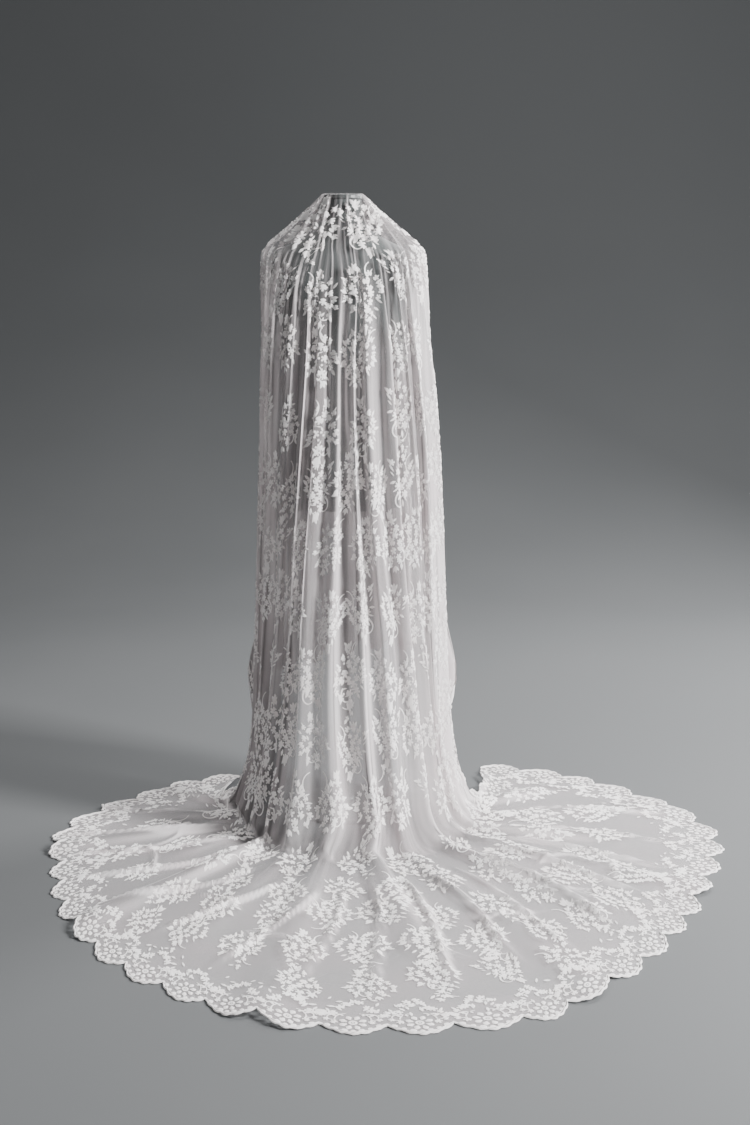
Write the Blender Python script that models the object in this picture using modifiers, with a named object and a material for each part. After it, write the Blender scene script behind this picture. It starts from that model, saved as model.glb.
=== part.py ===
"""Bridal veil draped over a limbless dress form on a stand, at real size, in metres.

X runs to the right of the train, Y runs from the train to the front of the form, and Z is up.
The origin lies on the floor under the middle of the stand.
The veil is one panel of net with a scalloped lace border round its whole hem. The panel is
modelled as the stretches that show: the long fall at the back, the shorter fall at the front
and the train on the floor.
A turn is an angle round the pole in degrees: 0 at the centre back, 90 on the right and 180
at the centre front. A station is a row number of the table of sections, whole or between rows.
"""

import math

import bmesh
import bpy
import numpy as np

# Driving sizes
WALL = 0.0015
SEAM_GAP = 0.0004
BORDER_WIDTH = 0.13
SCALLOP_WIDTH = 0.13
SCALLOP_DEPTH = 0.036
SIDE_SCALLOP_SHARE = 0.55
COLUMNS_PER_FOLD = 6
FRONT_COLUMNS_PER_FOLD = 5
BORDER_SPLIT = 2
ROWS_PER_SCALLOP = 6

# The front meets the back along a line at this turn. Below the front's hem the back has free
# edges there, and its lace runs up them from the train as far in as the last fold.
SEAM_TURN = 103.0
SIDE_BORDER_TURN = 89.0
FAR_CORNER_TURN = 133.0
FRONT_HEM_HEIGHT = 0.365
FRONT_HEM_SLANT = 0.045
CORNER_FLARE = 0.030
CORNER_FLARE_TURNS = 9.0
CORNER_FLARE_HEIGHT = 0.11

# The veil's level sections, from the crown to where it lies on the floor. The radii reach to
# the crests of the folds, inset is how far inside them the troughs lie, rise is how far the
# crests stand out from the troughs, side is how much deeper the folds are at the two sides,
# and sharp is how narrow a crest is.
SECTION_COLUMNS = (
    "height", "left", "right", "back", "front", "square", "inset", "rise", "side", "sharp",
)
SECTION_ROWS = (
    (1.5964, 0.000, 0.000, 0.000, 0.000, 2.0, 0.000, 0.000, 0.0, 1.0),
    (1.5964, 0.030, 0.030, 0.030, 0.030, 2.0, 0.000, 0.000, 0.0, 1.0),
    (1.5958, 0.047, 0.047, 0.047, 0.047, 2.0, 0.000, 0.001, 0.0, 1.0),
    (1.5880, 0.057, 0.057, 0.056, 0.056, 2.0, 0.001, 0.003, 0.0, 1.2),
    (1.5600, 0.088, 0.088, 0.065, 0.063, 2.0, 0.004, 0.005, 0.0, 1.5),
    (1.5200, 0.134, 0.135, 0.078, 0.072, 2.0, 0.006, 0.007, 0.0, 1.7),
    (1.4700, 0.190, 0.192, 0.093, 0.086, 2.1, 0.004, 0.005, 0.0, 1.6),
    (1.4480, 0.201, 0.204, 0.101, 0.096, 2.2, 0.003, 0.004, 0.0, 1.5),
    (1.4000, 0.2035, 0.208, 0.118, 0.116, 2.3, 0.006, 0.006, 0.0, 1.5),
    (1.3360, 0.205, 0.214, 0.134, 0.140, 2.4, 0.009, 0.009, 0.1, 1.4),
    (1.2500, 0.208, 0.221, 0.149, 0.162, 2.4, 0.013, 0.013, 0.2, 1.3),
    (1.0840, 0.214, 0.238, 0.168, 0.174, 2.3, 0.018, 0.018, 0.25, 1.2),
    (0.8000, 0.2205, 0.2535, 0.200, 0.188, 2.2, 0.021, 0.021, 0.25, 1.2),
    (0.5600, 0.2275, 0.263, 0.235, 0.200, 2.1, 0.022, 0.022, 0.25, 1.2),
    (0.3300, 0.236, 0.271, 0.280, 0.215, 2.1, 0.023, 0.023, 0.25, 1.2),
    (0.1550, 0.253, 0.292, 0.332, 0.235, 2.1, 0.024, 0.024, 0.25, 1.3),
    (0.0800, 0.272, 0.309, 0.363, 0.255, 2.1, 0.022, 0.024, 0.2, 1.4),
    (0.0300, 0.292, 0.327, 0.392, 0.280, 2.1, 0.015, 0.022, 0.15, 1.6),
    (0.0075, 0.314, 0.348, 0.418, 0.302, 2.1, 0.006, 0.019, 0.05, 1.8),
    (0.0000, 0.338, 0.372, 0.446, 0.328, 2.1, 0.000, 0.016, 0.0, 2.0),
)
SECTION = dict(zip(SECTION_COLUMNS, np.array(SECTION_ROWS).T))
CONTACT = len(SECTION_ROWS) - 1
HEM = CONTACT + 1

# The hem on the floor: how far it reaches from the pole at each turn.
HEM_COLUMNS = ("turn", "reach")
HEM_ROWS = (
    (-140, 0.36), (-120, 0.47), (-104, 0.545), (-90, 0.645), (-74, 0.765), (-58, 0.83),
    (-40, 0.965), (-20, 1.145), (0, 1.285), (16, 1.305), (30, 1.205), (45, 1.095),
    (60, 1.025), (76, 0.985), (92, 0.855), (110, 0.705), (136, 0.515), (145, 0.48),
)
HEM_TABLE = dict(zip(HEM_COLUMNS, np.array(HEM_ROWS, float).T))

# The ridges that the folds leave on the train: how high and how narrow they are, how soon the
# fall's folds have sunk to that height, and how gradually a ridge ends.
TRAIN_RISE = 0.013
TRAIN_SHARP = 3.0
TRAIN_SETTLED = 0.55
RIDGE_END = 0.4

# The folds, one row each, from the left of the front round the back: the turn of the crest,
# its depth as a share of the section's own, and how far it runs out over the train.
FOLD_COLUMNS = ("turn", "depth", "run")
FOLD_ROWS = (
    (-129, 1.0, 0.5), (-117, 1.0, 0.6), (-103, 1.05, 0.7), (-89, 1.15, 0.9), (-73, 0.8, 0.5),
    (-60, 1.1, 1.1), (-47, 0.6, 0.4), (-34.5, 1.35, 1.0), (-20, 0.55, 0.7), (-7, 0.9, 1.1),
    (10.5, 1.35, 0.6), (25, 0.7, 1.2), (38.5, 1.2, 0.8), (51, 0.8, 1.1), (63, 1.2, 0.6),
    (76, 0.8, 1.1), (89, 1.1, 0.6), (103, 1.05, 0.7), (117, 1.0, 0.6), (130, 0.8, 0.5),
    (143, 1.15, 0.5), (156, 0.8, 0.5), (169, 1.1, 0.5), (182, 0.7, 0.5), (195, 1.15, 0.5),
    (207, 0.8, 0.5), (219, 1.1, 0.5), (231, 1.0, 0.5), (243, 1.0, 0.6), (257, 1.05, 0.7),
    (271, 1.15, 0.9),
)
FOLD = dict(zip(FOLD_COLUMNS, np.array(FOLD_ROWS, float).T))
SWAY = 1.8
SWAY_END_ROWS = (6.0, 3.0)

# The bulge of slack net that has sunk onto the floor at the near left: how strong it is at
# each turn, and how far it moves each station of the fall outward and up.
BULGE_TURNS = (-96, -84, -72, -58, -38, -18, -4, 8)
BULGE_SHARES = (0.0, 0.35, 0.85, 1.0, 1.0, 0.6, 0.2, 0.0)
BULGE_COLUMNS = ("station", "out", "up")
BULGE_ROWS = (
    (14, 0.000, 0.000),
    (15, 0.000, 0.000),
    (16, -0.003, 0.008),
    (17, -0.015, 0.016),
    (18, -0.040, 0.006),
    (19, -0.062, 0.000),
)
BULGE = dict(zip(BULGE_COLUMNS, np.array(BULGE_ROWS).T))

# The dress form, a torso with a bare neck and closed shoulders. The columns are height, half
# width, how far it reaches to the back and to the front, and how square the section is.
FORM_ROWS = (
    (0.8100, 0.138, 0.096, 0.092, 2.3),
    (0.8160, 0.148, 0.104, 0.100, 2.3),
    (0.8450, 0.156, 0.114, 0.108, 2.3),
    (0.8950, 0.158, 0.118, 0.112, 2.3),
    (0.9500, 0.150, 0.110, 0.108, 2.3),
    (1.0200, 0.130, 0.092, 0.098, 2.2),
    (1.0850, 0.119, 0.082, 0.091, 2.1),
    (1.1400, 0.127, 0.087, 0.099, 2.1),
    (1.2000, 0.148, 0.098, 0.120, 2.2),
    (1.2600, 0.163, 0.104, 0.131, 2.3),
    (1.3200, 0.170, 0.104, 0.116, 2.4),
    (1.3700, 0.180, 0.099, 0.097, 2.4),
    (1.4150, 0.186, 0.091, 0.081, 2.3),
    (1.4450, 0.181, 0.082, 0.069, 2.2),
    (1.4650, 0.152, 0.075, 0.060, 2.1),
    (1.4850, 0.110, 0.068, 0.054, 2.0),
    (1.5100, 0.068, 0.058, 0.049, 2.0),
    (1.5350, 0.050, 0.050, 0.046, 2.0),
    (1.5830, 0.046, 0.046, 0.046, 2.0),
)
FORM_SIDES = 28
NECK_CAP_RADIUS = 0.048
NECK_CAP_TOP = 1.5953
POLE_RADIUS = 0.0125
FOOT_RADIUS = 0.150
FOOT_EDGE = 0.008
FOOT_HUB_RADIUS = 0.024
FOOT_HUB_TOP = 0.026
SEAT_GAP = 0.0003


def smooth_step(value):
    t = np.clip(value, 0.0, 1.0)
    return t * t * (3.0 - 2.0 * t)


def monotone_slopes(y, x):
    """Slopes at the rows of a table for a smooth curve that never overshoots them."""
    secant = np.diff(y) / np.diff(x)
    before, after = secant[:-1], secant[1:]
    same_way = before * after > 0
    joined = np.where(same_way, before + after, 1.0)
    inner = np.where(same_way, 2.0 * before * after / joined, 0.0)
    return np.concatenate([secant[:1], inner, secant[-1:]])


def read_curve(at, x, y):
    """A table column y over x, read at any value as a smooth curve."""
    at = np.clip(at, x[0], x[-1])
    slope = monotone_slopes(y, x)
    row = np.clip(np.searchsorted(x, at, side="right") - 1, 0, len(x) - 2)
    step = x[row + 1] - x[row]
    t = (at - x[row]) / step
    rise = y[row + 1] - y[row]
    start, end = slope[row] * step, slope[row + 1] * step
    return y[row] + t * (start + t * (3 * rise - 2 * start - end + t * (start + end - 2 * rise)))


def section(name, station):
    rows = np.arange(len(SECTION_ROWS), dtype=float)
    return read_curve(station, rows, SECTION[name])


def oval_radius(turn, right, left, back, front, square):
    """How far an oval with four half-sizes reaches at a turn."""
    across, along = np.sin(np.radians(turn)), np.cos(np.radians(turn))
    side = np.where(across > 0, right, left)
    deep = np.where(along > 0, back, front)
    share = (np.abs(across) / side) ** square + (np.abs(along) / deep) ** square
    return share ** (-1.0 / square)


def fold_wave(turn):
    """1 on a fold's crest and 0 in a trough."""
    phase = read_curve(turn, FOLD["turn"], np.arange(len(FOLD_ROWS), dtype=float))
    return 0.5 + 0.5 * np.cos(2.0 * math.pi * phase)


def fold_share(turn):
    return read_curve(turn, FOLD["turn"], FOLD["depth"])


def side_gain(turn, station):
    return 1.0 + section("side", station) * np.sin(np.radians(turn)) ** 2


def signed_turn(turn):
    """How many degrees a turn is from the centre back, negative on the left."""
    return (turn + 180.0) % 360.0 - 180.0


def floor_turn(turn):
    """The turn at which a line of cloth meets the hem: the train fans out to the far side."""
    signed = signed_turn(turn)
    spread = FAR_CORNER_TURN / SEAM_TURN - 1.0
    return signed * (1.0 + spread * (np.abs(signed) / SEAM_TURN) ** 2)


def plan_point(turn, radius):
    return radius * np.sin(np.radians(turn)), -radius * np.cos(np.radians(turn))


def swayed(turn, station):
    """The folds of the back wander a little to either side on their way down."""
    signed = np.clip(signed_turn(turn) / SEAM_TURN, -1.0, 1.0)
    start, end = SWAY_END_ROWS
    free = np.clip(station / start, 0.0, 1.0) * np.clip((CONTACT - station) / end, 0.0, 1.0)
    wander = np.sin(0.9 * station + 5.0 * signed) + 0.5 * np.sin(1.7 * station - 9.0 * signed)
    return turn + SWAY * wander * smooth_step(free) * np.cos(0.5 * math.pi * signed) ** 2


def crest_surface(turn, station):
    """The smooth surface that the crests of the folds reach, without the bulge."""
    turn, station = np.broadcast_arrays(np.asarray(turn, float), np.asarray(station, float))
    on_form = np.clip(station, 1e-3, CONTACT)
    swung = swayed(turn, on_form)
    radius = oval_radius(
        swung,
        section("right", on_form),
        section("left", on_form),
        section("back", on_form),
        section("front", on_form),
        section("square", on_form),
    )
    height = section("height", on_form)
    corner = (np.abs(signed_turn(turn)) - SEAM_TURN) / CORNER_FLARE_TURNS
    near_hem = (height - FRONT_HEM_HEIGHT) / CORNER_FLARE_HEIGHT
    radius = radius + CORNER_FLARE * np.exp(-(corner**2) - near_hem**2)
    x, y = plan_point(swung, radius)
    away = floor_turn(turn)
    reach = read_curve(away, HEM_TABLE["turn"], HEM_TABLE["reach"])
    hem_x, hem_y = plan_point(away, reach)
    along = np.maximum(station - CONTACT, 0.0)
    return np.stack([x + (hem_x - x) * along, y + (hem_y - y) * along, height], axis=-1)


def bulge(turn, station):
    """How far the slack at the near left moves the cloth."""
    share = read_curve(signed_turn(turn), np.array(BULGE_TURNS, float), np.array(BULGE_SHARES))
    station, along = np.minimum(station, CONTACT), np.maximum(station - CONTACT, 0.0)
    out = read_curve(station, BULGE["station"], BULGE["out"]) * share * (1.0 - along)
    up = read_curve(station, BULGE["station"], BULGE["up"]) * share
    x, y = plan_point(turn, out)
    return np.stack([x, y, up], axis=-1)


def surface_normal(surface, turn, station):
    """The unit normal of a surface on the side away from the form."""
    station = np.maximum(station, 0.05)
    turn_step, station_step = 0.2, 0.01
    by_turn = surface(turn + turn_step, station) - surface(turn - turn_step, station)
    by_station = surface(turn, station + station_step) - surface(turn, station - station_step)
    normal = np.cross(by_station, by_turn)
    return normal / np.maximum(np.linalg.norm(normal, axis=-1, keepdims=True), 1e-12)


def fold_direction(turn, station):
    """Which way a fold stands out: square to the fall, and upward on the floor."""
    normal = surface_normal(crest_surface, turn, np.minimum(station, CONTACT - 0.02))
    upright = smooth_step((station - CONTACT + 2.0) / 2.0)[..., None]
    direction = normal * (1.0 - upright) + np.array([0.0, 0.0, 1.0]) * upright
    return direction / np.linalg.norm(direction, axis=-1, keepdims=True)


def cloth(turn, station):
    """A point of the draped veil's underside."""
    turn, station = np.broadcast_arrays(np.asarray(turn, float), np.asarray(station, float))
    along = np.clip(station - CONTACT, 0.0, 1.3)
    fade = smooth_step(along / TRAIN_SETTLED)
    run = read_curve(turn, FOLD["turn"], FOLD["run"])
    lasting = smooth_step((run - along) / RIDGE_END + 0.5)
    rise = section("rise", station) * (1.0 - fade) + TRAIN_RISE * fade * lasting
    sharp = section("sharp", station) + (TRAIN_SHARP - SECTION["sharp"][-1]) * fade
    out = rise * fold_wave(turn) ** sharp - section("inset", station)
    out = out * fold_share(turn) * side_gain(turn, np.minimum(station, CONTACT))
    folded = crest_surface(turn, station) + fold_direction(turn, station) * out[..., None]
    return folded + bulge(turn, station)


def line_lengths(turn):
    """Stations along each line of cloth, and the length of the line down to each of them."""
    stations = np.linspace(0.0, HEM + 0.3, 640)
    turn, stations_across = np.broadcast_arrays(np.asarray(turn)[:, None], stations[None, :])
    line = crest_surface(turn, stations_across) + bulge(turn, stations_across)
    steps = np.linalg.norm(np.diff(line, axis=1), axis=-1)
    return stations, np.concatenate([np.zeros((len(line), 1)), np.cumsum(steps, axis=1)], axis=1)


def lengths_at(turn, station):
    stations, lengths = line_lengths(turn)
    return np.array([np.interp(s, stations, row) for s, row in zip(station, lengths)])


def stations_at(turn, length):
    stations, lengths = line_lengths(turn)
    return np.array([np.interp(s, row, stations) for s, row in zip(length, lengths)])


def front_hem_stations(turn):
    """The station of the front's hem, lower on the left than on the right."""
    height = FRONT_HEM_HEIGHT + FRONT_HEM_SLANT * np.sin(np.radians(turn))
    rows = np.arange(len(SECTION_ROWS), dtype=float)
    fine = np.linspace(8.0, CONTACT, 400)
    return np.interp(-height, -read_curve(fine, rows, SECTION["height"]), fine)


def full_length(turn):
    return lengths_at(turn, np.full(len(turn), float(HEM)))


def train_top_stations(turn, inset=0.0):
    """Where the train meets its lace border."""
    return stations_at(turn, full_length(turn) - BORDER_WIDTH + inset)


def front_length(turn):
    return lengths_at(turn, front_hem_stations(turn))


def tier_stations(turn, inset=0.0):
    """The level of the front's hem, followed all round."""
    return stations_at(turn, front_length(turn) + inset)


def fold_columns(first, last, count=COLUMNS_PER_FOLD):
    """Turns at even phases of the folds between two crests."""
    crests = FOLD["turn"]
    start, end = np.searchsorted(crests, [first, last])
    phases = np.linspace(start, end, (end - start) * count + 1)
    return np.interp(phases, np.arange(len(crests)), crests)


def level_rows(turn, stations):
    return [np.full(len(turn), float(station)) for station in stations]


def shared_rows(start, end, shares):
    return [start + (end - start) * share for share in shares]


def wall(turn, stations):
    """The two faces of the cloth's wall, as rows of points at rows of stations."""
    stations = np.stack(stations)
    turn = np.broadcast_to(turn, stations.shape)
    inner = cloth(turn, stations)
    outer = inner + WALL * surface_normal(cloth, turn, stations)
    on_crown = stations < 0.05
    outer[on_crown] = inner[on_crown] + np.array([0.0, 0.0, WALL])
    return np.stack([inner, outer])


def between(values, pieces):
    """The values, with evenly spaced ones added between each and the next."""
    count = (len(values) - 1) * pieces + 1
    rows = np.arange(count) / pieces
    low = np.minimum(rows.astype(int), len(values) - 2)
    share = (rows - low).reshape(-1, *[1] * (values.ndim - 1))
    return values[low] * (1 - share) + values[low + 1] * share


def scallop_phases(hem):
    """How many scallops along the hem each column lies, with the notches moved onto columns."""
    along = np.concatenate([[0.0], np.cumsum(np.linalg.norm(np.diff(hem, axis=0), axis=1))])
    count = round(along[-1] / SCALLOP_WIDTH)
    notches = np.linspace(0.0, along[-1], count + 1)
    nearest = np.unique(np.abs(along[None, :] - notches[:, None]).argmin(axis=1))
    return np.interp(along, along[nearest], np.arange(len(nearest)))


def widths_per_turn(turn, stations):
    """How far a degree of turn reaches across the cloth."""
    return np.linalg.norm(cloth(turn + 0.5, stations) - cloth(turn - 0.5, stations), axis=-1)


def scallop_cut(phase):
    """How far the edge lies inside the scallops' tips: deepest at the notches."""
    from_tip = np.abs(2.0 * (phase % 1.0) - 1.0)
    return SCALLOP_DEPTH * from_tip**1.8


def new_object(name, mesh, material, smooth=True):
    mesh.materials.append(material)
    if smooth:
        mesh.shade_smooth()
    node = bpy.data.objects.new(name, mesh)
    parts.objects.link(node)
    return node


def sheet(name, skins, material, shift=0.0):
    """A wall of cloth between two faces, each given as rows of points. Where the first row
    of a face is one point, it is the tip of a fan."""
    skins = skins + np.array([0.0, shift, 0.0])
    count, columns = skins.shape[1:3]
    fan = np.ptp(skins[0, 0], axis=0).max() < 1e-3
    points, faces = [], []
    numbers = np.zeros((2, count, columns), int)
    for side in range(2):
        for row in range(count):
            if fan and row == 0:
                numbers[side, row] = len(points)
                points.append(skins[side, row].mean(axis=0))
                continue
            numbers[side, row] = len(points) + np.arange(columns)
            points.extend(skins[side, row])

    def add_face(*corners):
        corners = tuple(dict.fromkeys(int(corner) for corner in corners))
        if len(corners) > 2:
            faces.append(corners)

    under, over = numbers
    for row in range(count - 1):
        for column in range(columns - 1):
            after = column + 1
            below = row + 1
            add_face(over[row, column], over[below, column], over[below, after])
            add_face(over[row, column], over[below, after], over[row, after])
            add_face(under[below, after], under[below, column], under[row, column])
            add_face(under[row, after], under[below, after], under[row, column])
    for column in range(columns - 1):
        after = column + 1
        add_face(over[0, after], under[0, after], over[0, column])
        add_face(under[0, after], under[0, column], over[0, column])
        add_face(over[-1, column], under[-1, column], under[-1, after])
        add_face(over[-1, column], under[-1, after], over[-1, after])
    for row in range(count - 1):
        below = row + 1
        add_face(over[row, 0], under[row, 0], under[below, 0], over[below, 0])
        add_face(over[below, -1], under[below, -1], under[row, -1], over[row, -1])
    mesh = bpy.data.meshes.new(name)
    mesh.from_pydata([tuple(p) for p in points], [], faces)
    mesh.shade_smooth()
    mesh.set_sharp_from_angle(angle=math.radians(60))
    return new_object(name, mesh, material, smooth=False)


def loft(name, rings, material):
    """A closed solid through rings of points, with flat ends."""
    count, columns = rings.shape[:2]
    faces = [tuple(range(columns))[::-1]]
    for row in range(count - 1):
        for column in range(columns):
            after = (column + 1) % columns
            low, high = row * columns, (row + 1) * columns
            faces.append((low + column, low + after, high + after, high + column))
    faces.append(tuple(range((count - 1) * columns, count * columns)))
    mesh = bpy.data.meshes.new(name)
    mesh.from_pydata([tuple(p) for p in rings.reshape(-1, 3)], [], faces)
    mesh.shade_smooth()
    mesh.set_sharp_from_angle(angle=math.radians(50))
    return new_object(name, mesh, material, smooth=False)


def plain_material(name, colour, roughness, metallic=0.0):
    material = bpy.data.materials.new(name)
    material.use_nodes = True
    shader = material.node_tree.nodes["Principled BSDF"]
    shader.inputs["Base Color"].default_value = (*colour, 1.0)
    shader.inputs["Roughness"].default_value = roughness
    shader.inputs["Metallic"].default_value = metallic
    return material


def build_back(net):
    """From the crown over the shoulders and down the back to the level of the front's hem."""
    turn = fold_columns(-SEAM_TURN, SEAM_TURN)
    stations = level_rows(turn, (0, 2, 3, 5, 6.5, 7.6, 9.2, 11, 12, 13))
    stations.append(tier_stations(turn, -SEAM_GAP / 2))
    return sheet("veil_back", wall(turn, stations), net)


def build_front(net):
    """From the crown down over the bust to the top of the front border."""
    turn = fold_columns(SEAM_TURN, 360.0 - SEAM_TURN, FRONT_COLUMNS_PER_FOLD)
    stations = level_rows(turn, (0, 2, 3, 5, 6.5, 7.6, 9.2, 11, 12))
    end = stations_at(turn, front_length(turn) - BORDER_WIDTH - SEAM_GAP / 2)
    stations += shared_rows(stations[-1], end, (0.5, 1.0))
    return sheet("veil_front", wall(turn, stations), net, shift=SEAM_GAP)


def build_train(net):
    """The rest of the back, down to the floor and out over it as far as the lace."""
    turn = fold_columns(-SIDE_BORDER_TURN, SIDE_BORDER_TURN)
    start = tier_stations(turn, SEAM_GAP / 2)
    contact = np.full(len(turn), float(CONTACT))
    end = train_top_stations(turn, -SEAM_GAP / 2)
    stations = shared_rows(start, contact, (0.0, 0.19, 0.37, 0.52, 0.67, 0.83, 1.0))
    stations += shared_rows(contact, end, (0.12, 0.25, 0.48, 0.74, 1.0))
    return sheet("veil_train", wall(turn, stations), net)


def build_side_border(name, side, lace):
    """The lace up a free edge of the back: from the last fold in to the scalloped edge."""
    end_columns = side * fold_columns(SIDE_BORDER_TURN, SEAM_TURN)
    ends = end_columns[[0, -1]]
    across = (end_columns - ends[0]) / (ends[1] - ends[0])
    top = tier_stations(end_columns, SEAM_GAP / 2)
    bottom = train_top_stations(end_columns, -SEAM_GAP / 2)
    contact = np.full(len(end_columns), float(CONTACT))
    edge_lengths = lengths_at(ends[[1, 1, 1]], np.array([top[-1], CONTACT, bottom[-1]]))
    scallops = round((edge_lengths[2] - edge_lengths[0]) / SCALLOP_WIDTH)
    steps = scallops * ROWS_PER_SCALLOP
    fall_share = (edge_lengths[1] - edge_lengths[0]) / (edge_lengths[2] - edge_lengths[0])
    fall_steps = round(steps * fall_share)
    stations = shared_rows(top, contact, np.linspace(0.0, 1.0, fall_steps + 1))
    stations += shared_rows(contact, bottom, np.linspace(0.0, 1.0, steps - fall_steps + 1)[1:])
    stations = np.stack(stations)
    cut = scallop_cut(np.linspace(0.5, scallops + 0.5, steps + 1)) * SIDE_SCALLOP_SHARE
    edge = ends[1] - side * cut * (SEAM_TURN - SIDE_BORDER_TURN) / BORDER_WIDTH
    inner = np.full(steps + 1, ends[0])
    inner = inner + side * SEAM_GAP / widths_per_turn(inner, stations[:, 0])
    turn = inner[:, None] + (edge - inner)[:, None] * across[None, :]
    left_to_right = slice(None, None, side)
    skins = wall(turn[:, left_to_right], stations[:, left_to_right])
    return sheet(name, skins, lace)


def build_hem_border(name, turn, split, start, end, lace, shift=0.0):
    """A band of scalloped lace along a hem, its upper edge straight from column to column of
    the net that it is sewn to."""
    seam = wall(turn, [stations_at(turn, start(turn))])
    seam = np.stack([between(face[0], split)[None] for face in seam])
    fine = between(turn, split)
    hem = wall(fine, [stations_at(fine, end(fine))])[0, 0]
    top, edge = start(fine), end(fine) - scallop_cut(scallop_phases(hem))
    rows = wall(fine, [stations_at(fine, row) for row in shared_rows(top, edge, (0.5, 1.0))])
    return sheet(name, np.concatenate([seam, rows], axis=1), lace, shift)


def build_borders(lace):
    turn = fold_columns(-SEAM_TURN, SEAM_TURN)
    inset = SEAM_GAP / 2 - BORDER_WIDTH
    build_hem_border(
        "border_train", turn, BORDER_SPLIT, lambda t: full_length(t) + inset, full_length, lace
    )
    build_side_border("border_side_left", -1, lace)
    build_side_border("border_side_right", 1, lace)
    turn = fold_columns(SEAM_TURN, 360.0 - SEAM_TURN, FRONT_COLUMNS_PER_FOLD)
    build_hem_border(
        "border_front", turn, 1, lambda t: front_length(t) + inset, front_length, lace, SEAM_GAP
    )


def build_torso(cover):
    turns = np.arange(FORM_SIDES) * 360.0 / FORM_SIDES
    rings = []
    for height, half_width, back, front, square in FORM_ROWS:
        radius = oval_radius(turns, half_width, half_width, back, front, square)
        x, y = plan_point(turns, radius)
        rings.append(np.stack([x, y, np.full(FORM_SIDES, height)], axis=1))
    return loft("form_torso", np.array(rings), cover)


def build_cylinder(name, radius, bottom, top, segments, material, soft_edge=0.0):
    """An upright round bar, its edges softened if asked."""
    shape = bmesh.new()
    bmesh.ops.create_cone(
        shape, cap_ends=True, segments=segments, radius1=radius, radius2=radius, depth=top - bottom
    )
    mesh = bpy.data.meshes.new(name)
    shape.to_mesh(mesh)
    shape.free()
    mesh.shade_smooth()
    mesh.set_sharp_from_angle(angle=math.radians(40))
    node = new_object(name, mesh, material, smooth=False)
    node.location.z = (top + bottom) / 2
    if soft_edge:
        edge = node.modifiers.new("soft_edge", "BEVEL")
        edge.width = soft_edge
        edge.segments = 2
        edge.limit_method = "ANGLE"
    return node


def build_foot(metal):
    """A round plate with a low dome that rises to a hub for the pole."""
    profile = (
        (0.0, FOOT_HUB_TOP),
        (FOOT_HUB_RADIUS - 0.003, FOOT_HUB_TOP),
        (FOOT_HUB_RADIUS, FOOT_HUB_TOP - 0.003),
        (FOOT_HUB_RADIUS, FOOT_EDGE + 0.006),
        (FOOT_RADIUS * 0.55, FOOT_EDGE + 0.004),
        (FOOT_RADIUS - 0.004, FOOT_EDGE),
        (FOOT_RADIUS, FOOT_EDGE - 0.003),
        (FOOT_RADIUS, 0.0),
        (0.0, 0.0),
    )
    mesh = bpy.data.meshes.new("form_foot")
    edges = [(i, i + 1) for i in range(len(profile) - 1)]
    mesh.from_pydata([(x, 0.0, z) for x, z in profile], edges, [])
    node = new_object("form_foot", mesh, metal)
    turned = node.modifiers.new("turned", "SCREW")
    turned.steps = 32
    turned.render_steps = 32
    turned.use_merge_vertices = True
    turned.merge_threshold = 0.0001
    return node


def main():
    net = plain_material("veil_net", (0.86, 0.83, 0.83), 0.75)
    lace = plain_material("lace_border", (0.93, 0.91, 0.90), 0.65)
    cover = plain_material("form_cover", (0.075, 0.085, 0.085), 0.85)
    cap_paint = plain_material("form_cap", (0.05, 0.055, 0.055), 0.5)
    metal = plain_material("form_stand", (0.14, 0.142, 0.142), 0.4)
    build_back(net)
    build_front(net)
    build_train(net)
    build_borders(lace)
    build_torso(cover)
    neck_top = FORM_ROWS[-1][0]
    build_cylinder(
        "form_neck_cap", NECK_CAP_RADIUS, neck_top + SEAT_GAP, NECK_CAP_TOP, 28, cap_paint, 0.003
    )
    pole_bottom, pole_top = FOOT_HUB_TOP + SEAT_GAP, FORM_ROWS[0][0] - SEAT_GAP
    build_cylinder("form_pole", POLE_RADIUS, pole_bottom, pole_top, 20, metal)
    build_foot(metal)


for leftover in list(bpy.data.objects):
    bpy.data.objects.remove(leftover)
parts = bpy.data.collections.new("bridal_veil")
bpy.context.scene.collection.children.link(parts)
main()
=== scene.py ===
"""Bridal veil draped over a limbless dress form, dressed with net, lace and embroidery.

Sizes are in metres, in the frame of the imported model: X to the right of the train, Y from the
train to the front of the form, Z up. A turn is an angle round the pole in degrees, 0 at the
centre back, 90 on the right and 180 at the centre front. A station is a row number of the
table of sections, from the crown to where the veil lies on the floor and on to its hem.
"""

import math

import bpy
import numpy as np
from bpy.props import FloatProperty, FloatVectorProperty, IntProperty, PointerProperty
from bpy.types import Operator, Panel, PropertyGroup
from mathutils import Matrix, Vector


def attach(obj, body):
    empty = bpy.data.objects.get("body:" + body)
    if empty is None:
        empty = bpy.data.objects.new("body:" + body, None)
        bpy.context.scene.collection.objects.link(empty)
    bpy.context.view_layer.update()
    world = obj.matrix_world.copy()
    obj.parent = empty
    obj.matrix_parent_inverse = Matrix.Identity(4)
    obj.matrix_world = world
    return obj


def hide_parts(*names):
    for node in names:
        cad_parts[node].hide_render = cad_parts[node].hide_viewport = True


bl_info = {
    "name": "Bridal Veil on a Dress Form",
    "version": (1, 0, 0),
    "blender": (4, 5, 0),
    "location": "3D Viewport > Sidebar > Veil",
    "description": "Net, scalloped lace and embroidery for a bridal veil with a train",
    "category": "Object",
}

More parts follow.
